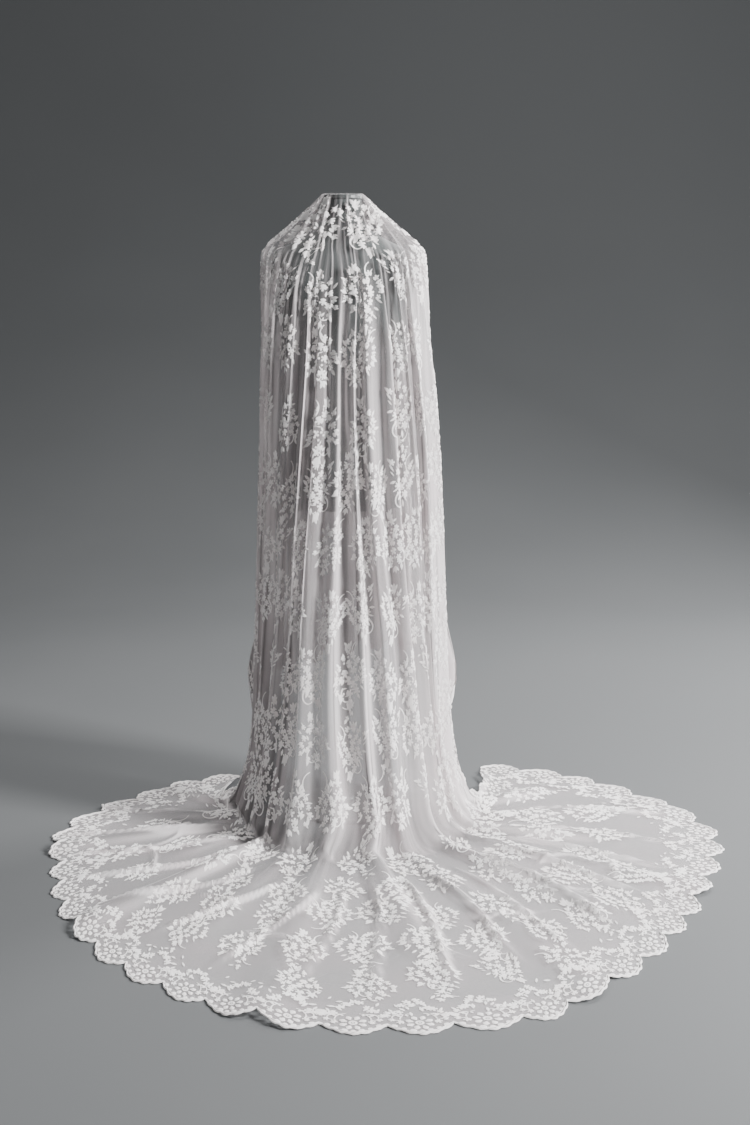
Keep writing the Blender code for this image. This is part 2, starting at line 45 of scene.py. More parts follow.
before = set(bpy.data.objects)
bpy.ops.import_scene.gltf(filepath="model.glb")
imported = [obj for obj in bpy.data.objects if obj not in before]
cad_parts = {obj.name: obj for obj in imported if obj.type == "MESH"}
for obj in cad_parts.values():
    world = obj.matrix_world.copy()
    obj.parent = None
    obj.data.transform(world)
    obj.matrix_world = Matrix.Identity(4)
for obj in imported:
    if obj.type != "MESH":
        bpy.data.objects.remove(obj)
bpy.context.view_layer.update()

# The veil's own sizes, as the solids have them
WALL = 0.0015
BORDER_WIDTH = 0.13
SCALLOP_WIDTH = 0.13
SCALLOP_DEPTH = 0.036
SIDE_SCALLOP_SHARE = 0.55
SEAM_TURN = 103.0
SIDE_BORDER_TURN = 89.0
FAR_CORNER_TURN = 133.0
FRONT_HEM_HEIGHT = 0.365
FRONT_HEM_SLANT = 0.045
CORNER_FLARE = 0.030
CORNER_FLARE_TURNS = 9.0
CORNER_FLARE_HEIGHT = 0.11

SECTION_COLUMNS = (
    "height", "left", "right", "back", "front", "square", "inset", "rise", "side", "sharp",
)
SECTION_ROWS = (
    (1.5964, 0.000, 0.000, 0.000, 0.000, 2.0, 0.000, 0.000, 0.0, 1.0),
    (1.5964, 0.030, 0.030, 0.030, 0.030, 2.0, 0.000, 0.000, 0.0, 1.0),
    (1.5958, 0.047, 0.047, 0.047, 0.047, 2.0, 0.000, 0.001, 0.0, 1.0),
    (1.5880, 0.057, 0.057, 0.056, 0.056, 2.0, 0.001, 0.003, 0.0, 1.2),
    (1.5600, 0.088, 0.088, 0.065, 0.063, 2.0, 0.004, 0.005, 0.0, 1.5),
    (1.5200, 0.134, 0.135, 0.078, 0.072, 2.0, 0.006, 0.007, 0.0, 1.7),
    (1.4700, 0.190, 0.192, 0.093, 0.086, 2.1, 0.004, 0.005, 0.0, 1.6),
    (1.4480, 0.201, 0.204, 0.101, 0.096, 2.2, 0.003, 0.004, 0.0, 1.5),
    (1.4000, 0.2035, 0.208, 0.118, 0.116, 2.3, 0.006, 0.006, 0.0, 1.5),
    (1.3360, 0.205, 0.214, 0.134, 0.140, 2.4, 0.009, 0.009, 0.1, 1.4),
    (1.2500, 0.208, 0.221, 0.149, 0.162, 2.4, 0.013, 0.013, 0.2, 1.3),
    (1.0840, 0.214, 0.238, 0.168, 0.174, 2.3, 0.018, 0.018, 0.25, 1.2),
    (0.8000, 0.2205, 0.2535, 0.200, 0.188, 2.2, 0.021, 0.021, 0.25, 1.2),
    (0.5600, 0.2275, 0.263, 0.235, 0.200, 2.1, 0.022, 0.022, 0.25, 1.2),
    (0.3300, 0.236, 0.271, 0.280, 0.215, 2.1, 0.023, 0.023, 0.25, 1.2),
    (0.1550, 0.253, 0.292, 0.332, 0.235, 2.1, 0.024, 0.024, 0.25, 1.3),
    (0.0800, 0.272, 0.309, 0.363, 0.255, 2.1, 0.022, 0.024, 0.2, 1.4),
    (0.0300, 0.292, 0.327, 0.392, 0.280, 2.1, 0.015, 0.022, 0.15, 1.6),
    (0.0075, 0.314, 0.348, 0.418, 0.302, 2.1, 0.006, 0.019, 0.05, 1.8),
    (0.0000, 0.338, 0.372, 0.446, 0.328, 2.1, 0.000, 0.016, 0.0, 2.0),
)
SECTION = dict(zip(SECTION_COLUMNS, np.array(SECTION_ROWS).T))
CONTACT = len(SECTION_ROWS) - 1
HEM = CONTACT + 1

HEM_COLUMNS = ("turn", "reach")
HEM_ROWS = (
    (-140, 0.36), (-120, 0.47), (-104, 0.545), (-90, 0.645), (-74, 0.765), (-58, 0.83),
    (-40, 0.965), (-20, 1.145), (0, 1.285), (16, 1.305), (30, 1.205), (45, 1.095),
    (60, 1.025), (76, 0.985), (92, 0.855), (110, 0.705), (136, 0.515), (145, 0.48),
)
HEM_TABLE = dict(zip(HEM_COLUMNS, np.array(HEM_ROWS, float).T))

TRAIN_RISE = 0.013
TRAIN_SHARP = 3.0
TRAIN_SETTLED = 0.55
RIDGE_END = 0.4

FOLD_COLUMNS = ("turn", "depth", "run")
FOLD_ROWS = (
    (-129, 1.0, 0.5), (-117, 1.0, 0.6), (-103, 1.05, 0.7), (-89, 1.15, 0.9), (-73, 0.8, 0.5),
    (-60, 1.1, 1.1), (-47, 0.6, 0.4), (-34.5, 1.35, 1.0), (-20, 0.55, 0.7), (-7, 0.9, 1.1),
    (10.5, 1.35, 0.6), (25, 0.7, 1.2), (38.5, 1.2, 0.8), (51, 0.8, 1.1), (63, 1.2, 0.6),
    (76, 0.8, 1.1), (89, 1.1, 0.6), (103, 1.05, 0.7), (117, 1.0, 0.6), (130, 0.8, 0.5),
    (143, 1.15, 0.5), (156, 0.8, 0.5), (169, 1.1, 0.5), (182, 0.7, 0.5), (195, 1.15, 0.5),
    (207, 0.8, 0.5), (219, 1.1, 0.5), (231, 1.0, 0.5), (243, 1.0, 0.6), (257, 1.05, 0.7),
    (271, 1.15, 0.9),
)
FOLD = dict(zip(FOLD_COLUMNS, np.array(FOLD_ROWS, float).T))
SWAY = 1.8
SWAY_END_ROWS = (6.0, 3.0)

BULGE_TURNS = (-96, -84, -72, -58, -38, -18, -4, 8)
BULGE_SHARES = (0.0, 0.35, 0.85, 1.0, 1.0, 0.6, 0.2, 0.0)
BULGE_COLUMNS = ("station", "out", "up")
BULGE_ROWS = (
    (14, 0.000, 0.000),
    (15, 0.000, 0.000),
    (16, -0.003, 0.008),
    (17, -0.015, 0.016),
    (18, -0.040, 0.006),
    (19, -0.062, 0.000),
)
BULGE = dict(zip(BULGE_COLUMNS, np.array(BULGE_ROWS).T))

FORM_ROWS = (
    (0.8100, 0.138, 0.096, 0.092, 2.3),
    (0.8160, 0.148, 0.104, 0.100, 2.3),
    (0.8450, 0.156, 0.114, 0.108, 2.3),
    (0.8950, 0.158, 0.118, 0.112, 2.3),
    (0.9500, 0.150, 0.110, 0.108, 2.3),
    (1.0200, 0.130, 0.092, 0.098, 2.2),
    (1.0850, 0.119, 0.082, 0.091, 2.1),
    (1.1400, 0.127, 0.087, 0.099, 2.1),
    (1.2000, 0.148, 0.098, 0.120, 2.2),
    (1.2600, 0.163, 0.104, 0.131, 2.3),
    (1.3200, 0.170, 0.104, 0.116, 2.4),
    (1.3700, 0.180, 0.099, 0.097, 2.4),
    (1.4150, 0.186, 0.091, 0.081, 2.3),
    (1.4450, 0.181, 0.082, 0.069, 2.2),
    (1.4650, 0.152, 0.075, 0.060, 2.1),
    (1.4850, 0.110, 0.068, 0.054, 2.0),
    (1.5100, 0.068, 0.058, 0.049, 2.0),
    (1.5350, 0.050, 0.050, 0.046, 2.0),
    (1.5830, 0.046, 0.046, 0.046, 2.0),
)

# The small gathers between the main folds: how many ride on each fold, how deep they are, and
# how far round from the centre back they start to show in full.
GATHERS_PER_FOLD = (2.37, 3.9)
GATHER_DEPTH = (0.0046, 0.0022)
GATHER_TURNS = (30.0, 74.0)
GATHER_LEAST = 0.14

# How much more the strongest folds stand out at the shoulders than the weak ones, how much
# deeper all folds are lower down, and how far a crest leans over to one side.
STRONG_FOLDS = 1.7
FALL_GAIN = 0.18
LEAN = 0.011

# Creases of the fall. Each starts and ends at a turn and a height, stands out
# by depth, or sinks in where it is less than nothing, and is as wide as a few degrees.
CREASE_COLUMNS = ("turn_top", "top", "turn_end", "end", "depth", "width")
CREASE_ROWS = (
    (-27, 1.57, -31, 0.45, 0.0050, 1.5), (-14, 1.56, -12, 1.05, 0.0035, 1.3),
    (4, 1.58, 6, 0.98, 0.0050, 1.4), (15, 1.57, 17, 0.62, 0.0048, 1.5),
    (24, 1.42, 30, 0.36, 0.0040, 1.4), (-20, 1.22, -24, 0.30, 0.0036, 1.5),
    (46, 1.40, 44, 0.22, 0.0042, 1.8), (-42, 1.34, -41, 0.35, 0.0040, 1.7),
    (-52, 1.43, -54, 0.60, 0.0040, 1.6), (57, 1.43, 58, 0.30, 0.0045, 1.6),
    (-66, 1.45, -67, 0.28, 0.0042, 1.8), (69, 1.45, 70, 0.20, 0.0042, 1.7),
    (-81, 1.45, -80, 0.22, 0.0040, 1.8), (82, 1.45, 83, 0.42, 0.0042, 1.8),
    (-96, 1.46, -95, 0.20, 0.0040, 1.7), (96, 1.46, 95, 0.20, 0.0040, 1.7),
    (111, 1.45, 110, 0.40, 0.0042, 1.9), (124, 1.44, 125, 0.42, 0.0040, 1.7),
    (137, 1.44, 136, 0.38, 0.0044, 1.9), (149, 1.50, 150, 0.60, 0.0038, 1.6),
    (162, 1.55, 163, 0.36, 0.0042, 1.7), (176, 1.56, 175, 0.70, 0.0040, 1.6),
    (188, 1.55, 189, 0.36, 0.0042, 1.7), (201, 1.50, 202, 0.44, 0.0038, 1.6),
    (213, 1.45, 214, 0.38, 0.0042, 1.8), (225, 1.45, 224, 0.55, 0.0040, 1.8),
    (237, 1.45, 238, 0.38, 0.0042, 1.8), (250, 1.45, 249, 0.42, 0.0040, 1.8),
)
CREASE_END = 0.09

# Creases of the train, placed on the floor: from one point to another.
TRAIN_CREASE_COLUMNS = ("x", "y", "end_x", "end_y", "height", "width")
TRAIN_CREASE_ROWS = (
    (-0.30, -0.20, -0.76, -0.26, 0.0095, 0.011), (-0.30, -0.29, -0.72, -0.40, 0.0080, 0.010),
    (-0.26, -0.38, -0.66, -0.56, 0.0100, 0.012), (-0.18, -0.46, -0.58, -0.74, 0.0075, 0.010),
    (-0.14, -0.54, -0.42, -0.88, 0.0090, 0.011), (-0.05, -0.60, -0.26, -1.04, 0.0085, 0.011),
    (0.00, -0.56, -0.06, -1.12, 0.0070, 0.010), (0.06, -0.50, 0.10, -1.18, 0.0085, 0.011),
    (0.12, -0.46, 0.27, -1.14, 0.0115, 0.011), (0.18, -0.46, 0.42, -1.02, 0.0100, 0.011),
    (0.24, -0.42, 0.54, -0.96, 0.0090, 0.010), (0.30, -0.38, 0.66, -0.82, 0.0105, 0.012),
    (0.34, -0.30, 0.76, -0.64, 0.0090, 0.011), (0.36, -0.24, 0.84, -0.46, 0.0100, 0.011),
    (0.38, -0.16, 0.88, -0.28, 0.0080, 0.010), (0.42, -0.06, 0.88, -0.06, 0.0070, 0.010),
    (0.46, -0.44, 0.62, -0.36, 0.0055, 0.009), (0.60, -0.34, 0.68, -0.54, 0.0050, 0.008),
    (-0.42, -0.06, -0.78, 0.00, 0.0075, 0.010), (-0.54, -0.32, -0.44, -0.50, 0.0050, 0.009),
    (0.30, -0.80, 0.46, -0.68, 0.0055, 0.009), (-0.24, -0.84, -0.04, -0.90, 0.0050, 0.009),
    (-0.44, -0.22, -0.60, -0.44, 0.0045, 0.009), (0.12, -0.90, 0.30, -0.94, 0.0045, 0.009),
    (0.50, -0.62, 0.66, -0.58, 0.0045, 0.008), (-0.36, -0.64, -0.20, -0.72, 0.0045, 0.009),
)

# How finely the net is cut into faces
COLUMNS_PER_FOLD = 26
FRONT_COLUMNS_PER_FOLD = 20
FALL_ROWS = 150
FLOOR_ROWS = 96
CREASE_MARGIN = 0.0004

CREAM = (0.93, 0.905, 0.90)


class VeilSettings(PropertyGroup):
    net_cover: FloatProperty(
        name="Net cover",
        description="How much of what lies behind one flat layer of net is hidden",
        default=0.13, min=0.05, max=0.9, subtype="FACTOR",
    )
    fold_cover: FloatProperty(
        name="Fold cover",
        description="How much more the net hides along folds and where it is gathered",
        default=0.62, min=0.0, max=0.9, subtype="FACTOR",
    )
    hole_size: FloatProperty(
        name="Mesh size",
        description="Distance from one hole of the net to the next",
        default=0.0022, min=0.0005, max=0.01, unit="LENGTH", precision=4,
    )
    net_colour: FloatVectorProperty(
        name="Net colour",
        description="Colour of the net's yarn",
        default=(0.86, 0.815, 0.82), min=0.0, max=1.0, subtype="COLOR",
    )
    # The blush is also the base of the net's painted shade colour, at 0.13 of it.
    blush_and_shade_colour: FloatVectorProperty(
        name="Blush",
        description="Faint tint that the net takes in patches",
        default=(0.80, 0.715, 0.73), min=0.0, max=1.0, subtype="COLOR",
    )


class EmbroiderySettings(PropertyGroup):
    spray_length: FloatProperty(
        name="Spray length",
        description="Length of one spray of flowers",
        default=0.146, min=0.05, max=0.3, unit="LENGTH",
    )
    spacing: FloatProperty(
        name="Spray spacing",
        description="Distance from one row of sprays to the next",
        default=0.158, min=0.08, max=0.5, unit="LENGTH",
    )
    lift: FloatProperty(
        name="Lift",
        description="How far the embroidery lies above the net",
        default=0.0007, min=0.0002, max=0.003, unit="LENGTH", precision=4,
    )
    bumps: IntProperty(
        name="Bumps",
        description="How many small bumps the corded edge has in each scallop",
        default=5, min=2, max=12,
    )
    thread_colour: FloatVectorProperty(
        name="Thread colour",
        description="Colour of the embroidery and the cord",
        default=CREAM, min=0.0, max=1.0, subtype="COLOR",
    )


class FormSettings(PropertyGroup):
    cover_colour: FloatVectorProperty(
        name="Cover colour",
        description="Colour of the form's knitted cover",
        default=(0.034, 0.040, 0.040), min=0.0, max=1.0, subtype="COLOR",
    )
    cap_colour: FloatVectorProperty(
        name="Cap colour",
        description="Paint of the neck cap",
        default=(0.05, 0.055, 0.055), min=0.0, max=1.0, subtype="COLOR",
    )
    stand_colour: FloatVectorProperty(
        name="Stand colour",
        description="Paint of the pole and the foot",
        default=(0.14, 0.142, 0.142), min=0.0, max=1.0, subtype="COLOR",
    )


class StageSettings(PropertyGroup):
    floor_colour: FloatVectorProperty(
        name="Floor colour",
        description="Colour of the floor and the wall behind",
        default=(0.092, 0.096, 0.099), min=0.0, max=1.0, subtype="COLOR",
    )
    light: FloatProperty(
        name="Light",
        description="Strength of all the lamps",
        default=1.0, min=0.0, max=5.0, subtype="FACTOR",
    )


# Reading the tables


def smooth_step(value):
    t = np.clip(value, 0.0, 1.0)
    return t * t * (3.0 - 2.0 * t)


def monotone_slopes(y, x):
    """Slopes at the rows of a table for a smooth curve that never overshoots them."""
    secant = np.diff(y) / np.diff(x)
    before, after = secant[:-1], secant[1:]
    same_way = before * after > 0
    joined = np.where(same_way, before + after, 1.0)
    inner = np.where(same_way, 2.0 * before * after / joined, 0.0)
    return np.concatenate([secant[:1], inner, secant[-1:]])


def read_curve(at, x, y):
    """A table column y over x, read at any value as a smooth curve."""
    at = np.clip(at, x[0], x[-1])
    slope = monotone_slopes(y, x)
    row = np.clip(np.searchsorted(x, at, side="right") - 1, 0, len(x) - 2)
    step = x[row + 1] - x[row]
    t = (at - x[row]) / step
    rise = y[row + 1] - y[row]
    start, end = slope[row] * step, slope[row + 1] * step
    return y[row] + t * (start + t * (3 * rise - 2 * start - end + t * (start + end - 2 * rise)))


def section(name, station):
    rows = np.arange(len(SECTION_ROWS), dtype=float)
    return read_curve(station, rows, SECTION[name])


def oval_radius(turn, right, left, back, front, square):
    """How far an oval with four half-sizes reaches at a turn."""
    across, along = np.sin(np.radians(turn)), np.cos(np.radians(turn))
    side = np.where(across > 0, right, left)
    deep = np.where(along > 0, back, front)
    share = (np.abs(across) / side) ** square + (np.abs(along) / deep) ** square
    return share ** (-1.0 / square)


def fold_phase(turn):
    return read_curve(turn, FOLD["turn"], np.arange(len(FOLD_ROWS), dtype=float))


def fold_wave(turn):
    """1 on a fold's crest and 0 in a trough."""
    return 0.5 + 0.5 * np.cos(2.0 * math.pi * fold_phase(turn))


def fold_share(turn):
    return read_curve(turn, FOLD["turn"], FOLD["depth"])


def side_gain(turn, station):
    return 1.0 + section("side", station) * np.sin(np.radians(turn)) ** 2


def signed_turn(turn):
    """How many degrees a turn is from the centre back, negative on the left."""
    return (turn + 180.0) % 360.0 - 180.0


def floor_turn(turn):
    """The turn at which a line of cloth meets the hem: the train fans out to the far side."""
    signed = signed_turn(turn)
    spread = FAR_CORNER_TURN / SEAM_TURN - 1.0
    return signed * (1.0 + spread * (np.abs(signed) / SEAM_TURN) ** 2)


def plan_point(turn, radius):
    return radius * np.sin(np.radians(turn)), -radius * np.cos(np.radians(turn))


# The draped surface


def swayed(turn, station):
    """The folds of the back wander a little to either side on their way down."""
    signed = np.clip(signed_turn(turn) / SEAM_TURN, -1.0, 1.0)
    start, end = SWAY_END_ROWS
    free = np.clip(station / start, 0.0, 1.0) * np.clip((CONTACT - station) / end, 0.0, 1.0)
    wander = np.sin(0.9 * station + 5.0 * signed) + 0.5 * np.sin(1.7 * station - 9.0 * signed)
    return turn + SWAY * wander * smooth_step(free) * np.cos(0.5 * math.pi * signed) ** 2


def crest_surface(turn, station):
    """The smooth surface that the crests of the folds reach, without the bulge."""
    turn, station = np.broadcast_arrays(np.asarray(turn, float), np.asarray(station, float))
    on_form = np.clip(station, 1e-3, CONTACT)
    swung = swayed(turn, on_form)
    radius = oval_radius(
        swung,
        section("right", on_form),
        section("left", on_form),
        section("back", on_form),
        section("front", on_form),
        section("square", on_form),
    )
    height = section("height", on_form)
    corner = (np.abs(signed_turn(turn)) - SEAM_TURN) / CORNER_FLARE_TURNS
    near_hem = (height - FRONT_HEM_HEIGHT) / CORNER_FLARE_HEIGHT
    radius = radius + CORNER_FLARE * np.exp(-(corner**2) - near_hem**2)
    x, y = plan_point(swung, radius)
    away = floor_turn(turn)
    reach = read_curve(away, HEM_TABLE["turn"], HEM_TABLE["reach"])
    hem_x, hem_y = plan_point(away, reach)
    along = np.maximum(station - CONTACT, 0.0)
    return np.stack([x + (hem_x - x) * along, y + (hem_y - y) * along, height], axis=-1)


def bulge(turn, station):
    """How far the slack at the near left moves the cloth."""
    share = read_curve(signed_turn(turn), np.array(BULGE_TURNS, float), np.array(BULGE_SHARES))
    station, along = np.minimum(station, CONTACT), np.maximum(station - CONTACT, 0.0)
    out = read_curve(station, BULGE["station"], BULGE["out"]) * share * (1.0 - along)
    up = read_curve(station, BULGE["station"], BULGE["up"]) * share
    x, y = plan_point(turn, out)
    return np.stack([x, y, up], axis=-1)


def surface_normal(surface, turn, station):
    """The unit normal of a surface on the side away from the form."""
    station = np.maximum(station, 0.05)
    turn_step, station_step = 0.2, 0.01
    by_turn = surface(turn + turn_step, station) - surface(turn - turn_step, station)
    by_station = surface(turn, station + station_step) - surface(turn, station - station_step)
    normal = np.cross(by_station, by_turn)
    return normal / np.maximum(np.linalg.norm(normal, axis=-1, keepdims=True), 1e-12)


def fold_direction(turn, station):
    """Which way a fold stands out: square to the fall, and upward on the floor."""
    normal = surface_normal(crest_surface, turn, np.minimum(station, CONTACT - 0.02))
    upright = smooth_step((station - CONTACT + 2.0) / 2.0)[..., None]
    direction = normal * (1.0 - upright) + np.array([0.0, 0.0, 1.0]) * upright
    return direction / np.linalg.norm(direction, axis=-1, keepdims=True)


def main_folds(turn, station):
    """How far the main folds stand out from the crest surface."""
    along = np.clip(station - CONTACT, 0.0, 1.3)
    fade = smooth_step(along / TRAIN_SETTLED)
    run = read_curve(turn, FOLD["turn"], FOLD["run"])
    lasting = smooth_step((run - along) / RIDGE_END + 0.5)
    rise = section("rise", station) * (1.0 - fade) + TRAIN_RISE * fade * lasting
    sharp = section("sharp", station) + (TRAIN_SHARP - SECTION["sharp"][-1]) * fade
    out = rise * fold_wave(turn) ** sharp - section("inset", station)
    return out * fold_share(turn) * side_gain(turn, np.minimum(station, CONTACT))


def gathers(turn, station):
    """The small gathers between the folds: fine at the shoulders, gone on the floor."""
    phase = fold_phase(turn)
    away = np.abs(signed_turn(turn))
    start, full = GATHER_TURNS
    share = GATHER_LEAST + (1.0 - GATHER_LEAST) * smooth_step((away - start) / (full - start))
    share = share * smooth_step((station - 5.0) / 3.0) * smooth_step((CONTACT + 0.25 - station) / 3.0)
    slow = 0.35 * np.sin(0.8 * station + 0.9 * phase)
    out = 0.0
    for count, depth in zip(GATHERS_PER_FOLD, GATHER_DEPTH):
        out = out + depth * np.sin(2.0 * math.pi * (count * phase + slow))
    return out * share


def fall_creases(turn, station):
    height = section("height", np.minimum(station, CONTACT))
    out = np.zeros(np.broadcast(turn, station).shape)
    for start, top, finish, end, depth, width in CREASE_ROWS:
        down = np.clip((top - height) / (top - end), 0.0, 1.0)
        from_line = signed_turn(turn - (start + (finish - start) * down))
        ends = smooth_step((top - height) / CREASE_END) * smooth_step((height - end) / CREASE_END)
        out = out + depth * np.exp(-((from_line / width) ** 2)) * ends
    return out


def train_creases(point, station):
    out = np.zeros(point.shape[:-1])
    for x, y, end_x, end_y, height, width in TRAIN_CREASE_ROWS:
        start, run = np.array([x, y]), np.array([end_x - x, end_y - y])
        length = np.linalg.norm(run)
        across = np.array([-run[1], run[0]]) / length
        offset = point[..., :2] - start
        share = (offset @ run) / length**2
        bend = 0.018 * np.sin(5.0 * share)
        distance = offset @ across - bend
        ends = smooth_step(share / 0.2) * smooth_step((1.0 - share) / 0.3)
        sharp = np.exp(-np.abs(distance / (0.62 * width)) ** 1.35)
        out = out + 1.35 * height * sharp * ends
    return out * smooth_step((station - CONTACT) / 0.12)


def cloth(turn, station):
    """A point of the solid veil's underside: its main folds alone."""
    turn, station = np.broadcast_arrays(np.asarray(turn, float), np.asarray(station, float))
    out = main_folds(turn, station)
    folded = crest_surface(turn, station) + fold_direction(turn, station) * out[..., None]
    return folded + bulge(turn, station)


def fold_gain(turn, station):
    """How much more a fold's crest stands out in the net than in the solid."""
    shoulder = smooth_step((station - 2.5) / 1.5) * (1.0 - smooth_step((station - 9.0) / 2.5))
    fall = smooth_step((station - 10.0) / 2.5) * (1.0 - smooth_step((station - CONTACT + 1.5) / 1.5))
    return fold_share(turn) ** (STRONG_FOLDS * shoulder) * (1.0 + FALL_GAIN * fall)


def lean(turn, station):
    """How far the crests lean over along the cloth, some to the left and some to the right."""
    phase = fold_phase(turn)
    side = np.sin(2.1 * phase + 0.6)
    share = smooth_step((station - 6.0) / 4.0) * smooth_step((CONTACT + 0.6 - station) / 1.6)
    x, y = np.cos(np.radians(turn)), np.sin(np.radians(turn))
    amount = LEAN * side * share * fold_wave(turn) ** 2
    return np.stack([x * amount, y * amount, np.zeros_like(amount)], axis=-1)


def net_surface(turn, station):
    """A point of the net, with the small gathers and creases too."""
    turn, station = np.broadcast_arrays(np.asarray(turn, float), np.asarray(station, float))
    crest = crest_surface(turn, station)
    out = main_folds(turn, station)
    out = np.where(out > 0, out * fold_gain(turn, station), out)
    out = out + gathers(turn, station) + fall_creases(turn, station)
    out = out + train_creases(crest, station) + WALL / 2
    point = crest + fold_direction(turn, station) * out[..., None] + bulge(turn, station)
    point = point + lean(turn, station)
    point[..., 2] = np.maximum(point[..., 2], CREASE_MARGIN)
    return point


# Lengths along the cloth


def line_lengths(turn):
    """Stations along each line of cloth, and the length of the line down to each of them."""
    stations = np.linspace(0.0, HEM + 0.3, 640)
    turn, stations_across = np.broadcast_arrays(np.asarray(turn)[:, None], stations[None, :])
    line = crest_surface(turn, stations_across) + bulge(turn, stations_across)
    steps = np.linalg.norm(np.diff(line, axis=1), axis=-1)
    return stations, np.concatenate([np.zeros((len(line), 1)), np.cumsum(steps, axis=1)], axis=1)


def lengths_at(turn, station):
    stations, lengths = line_lengths(turn)
    return np.array([np.interp(s, stations, row) for s, row in zip(station, lengths)])


def stations_at(turn, length):
    stations, lengths = line_lengths(turn)
    return np.array([np.interp(s, row, stations) for s, row in zip(length, lengths)])


def front_hem_stations(turn):
    """The station of the front's hem, lower on the left than on the right."""
    height = FRONT_HEM_HEIGHT + FRONT_HEM_SLANT * np.sin(np.radians(turn))
    rows = np.arange(len(SECTION_ROWS), dtype=float)
    fine = np.linspace(8.0, CONTACT, 400)
    return np.interp(-height, -read_curve(fine, rows, SECTION["height"]), fine)


def full_length(turn):
    return lengths_at(turn, np.full(len(turn), float(HEM)))


def front_length(turn):
    return lengths_at(turn, front_hem_stations(turn))


def fold_columns(first, last, count):
    """Turns at even phases of the folds between two crests."""
    crests = FOLD["turn"]
    start, end = np.searchsorted(crests, [first, last])
    phases = np.linspace(start, end, (end - start) * count + 1)
    return np.interp(phases, np.arange(len(crests)), crests)


def rows_between(start, end, shares):
    return start[None, :] + (end - start)[None, :] * np.asarray(shares)[:, None]


def scallop_cut(phase):
    """How far the edge lies inside the scallops' tips: deepest at the notches."""
    from_tip = np.abs(2.0 * (phase % 1.0) - 1.0)
    return SCALLOP_DEPTH * from_tip**1.8


def scallop_bumps(phase):
    bumps = bpy.context.scene.veil_embroidery.bumps
    return 0.0055 * (1.0 - np.abs(np.sin(math.pi * bumps * (phase % 1.0))))


def hem_phases(turn, coarse, length):
    """How many scallops along a hem each turn lies, with the same notches as the solid has."""
    hem = cloth(coarse, stations_at(coarse, length(coarse)))
    along = np.concatenate([[0.0], np.cumsum(np.linalg.norm(np.diff(hem, axis=0), axis=1))])
    count = round(along[-1] / SCALLOP_WIDTH)
    notches = np.linspace(0.0, along[-1], count + 1)
    nearest = np.unique(np.abs(along[None, :] - notches[:, None]).argmin(axis=1))
    phases = np.interp(along, along[nearest], np.arange(len(nearest)))
    return np.interp(turn, coarse, phases)


def halved(values):
    """The values, with one halfway between each and the next."""
    middle = (values[:-1] + values[1:]) / 2
    out = np.empty(len(values) + len(middle))
    out[0::2], out[1::2] = values, middle
    return out


# Shared looks


def new_group(name, inputs, outputs):
    group = bpy.data.node_groups.new(name, "ShaderNodeTree")
    for label, kind, default in inputs:
        made = group.interface.new_socket(label, in_out="INPUT", socket_type=kind)
        made.default_value = default
    for label, kind in outputs:
        group.interface.new_socket(label, in_out="OUTPUT", socket_type=kind)
    return group, group.nodes.new("NodeGroupInput"), group.nodes.new("NodeGroupOutput")


def maths(tree, operation, first, second=None, third=None, clamp=False):
    node = tree.nodes.new("ShaderNodeMath")
    node.operation = operation
    node.use_clamp = clamp
    for socket, value in zip(node.inputs, (first, second, third)):
        if value is None:
            continue
        if isinstance(value, (int, float)):
            socket.default_value = value
        else:
            tree.links.new(value, socket)
    return node.outputs[0]


def net_holes_group():
    """Yarn of a six-sided net: 1 on the yarn and 0 in a hole, over the piece's own flat map."""
    group, given, result = new_group(
        "net_holes",
        [("Flat Place", "NodeSocketVector", (0, 0, 0)), ("Mesh Size", "NodeSocketFloat", 0.002)],
        [("Yarn", "NodeSocketFloat")],
    )
    split = group.nodes.new("ShaderNodeSeparateXYZ")
    group.links.new(given.outputs["Flat Place"], split.inputs[0])
    per_metre = maths(group, "DIVIDE", 2.0 * math.pi, given.outputs["Mesh Size"])
    waves = []
    for angle in (0.0, 60.0, 120.0):
        across = maths(group, "MULTIPLY", split.outputs[0], math.cos(math.radians(angle)))
        along = maths(group, "MULTIPLY", split.outputs[1], math.sin(math.radians(angle)))
        distance = maths(group, "ADD", across, along)
        waves.append(maths(group, "COSINE", maths(group, "MULTIPLY", distance, per_metre)))
    total = maths(group, "ADD", maths(group, "ADD", waves[0], waves[1]), waves[2])
    ranged = group.nodes.new("ShaderNodeMapRange")
    ranged.inputs["From Min"].default_value = 0.6
    ranged.inputs["From Max"].default_value = -0.9
    group.links.new(total, ranged.inputs["Value"])
    group.links.new(ranged.outputs["Result"], result.inputs["Yarn"])
    return group


def thread_grain_group():
    """Fine side by side stitches over the flat map, with a little unevenness."""
    group, given, result = new_group(
        "thread_grain",
        [
            ("Flat Place", "NodeSocketVector", (0, 0, 0)),
            ("Stitches Per Metre", "NodeSocketFloat", 1500.0),
            ("Unevenness", "NodeSocketFloat", 0.4),
        ],
        [("Height", "NodeSocketFloat"), ("Wear", "NodeSocketFloat")],
    )
    noise = group.nodes.new("ShaderNodeTexNoise")
    noise.inputs["Scale"].default_value = 160.0
    noise.inputs["Detail"].default_value = 3.0
    group.links.new(given.outputs["Flat Place"], noise.inputs["Vector"])
    split = group.nodes.new("ShaderNodeSeparateXYZ")
    group.links.new(given.outputs["Flat Place"], split.inputs[0])
    shifted = maths(
        group, "MULTIPLY_ADD", split.outputs[0], given.outputs["Stitches Per Metre"],
        maths(group, "MULTIPLY", noise.outputs["Fac"], 6.0),
    )
    wave = maths(group, "SINE", shifted)
    mixed = maths(group, "MULTIPLY_ADD", noise.outputs["Fac"], given.outputs["Unevenness"], wave)
    group.links.new(mixed, result.inputs["Height"])
    group.links.new(noise.outputs["Fac"], result.inputs["Wear"])
    return group


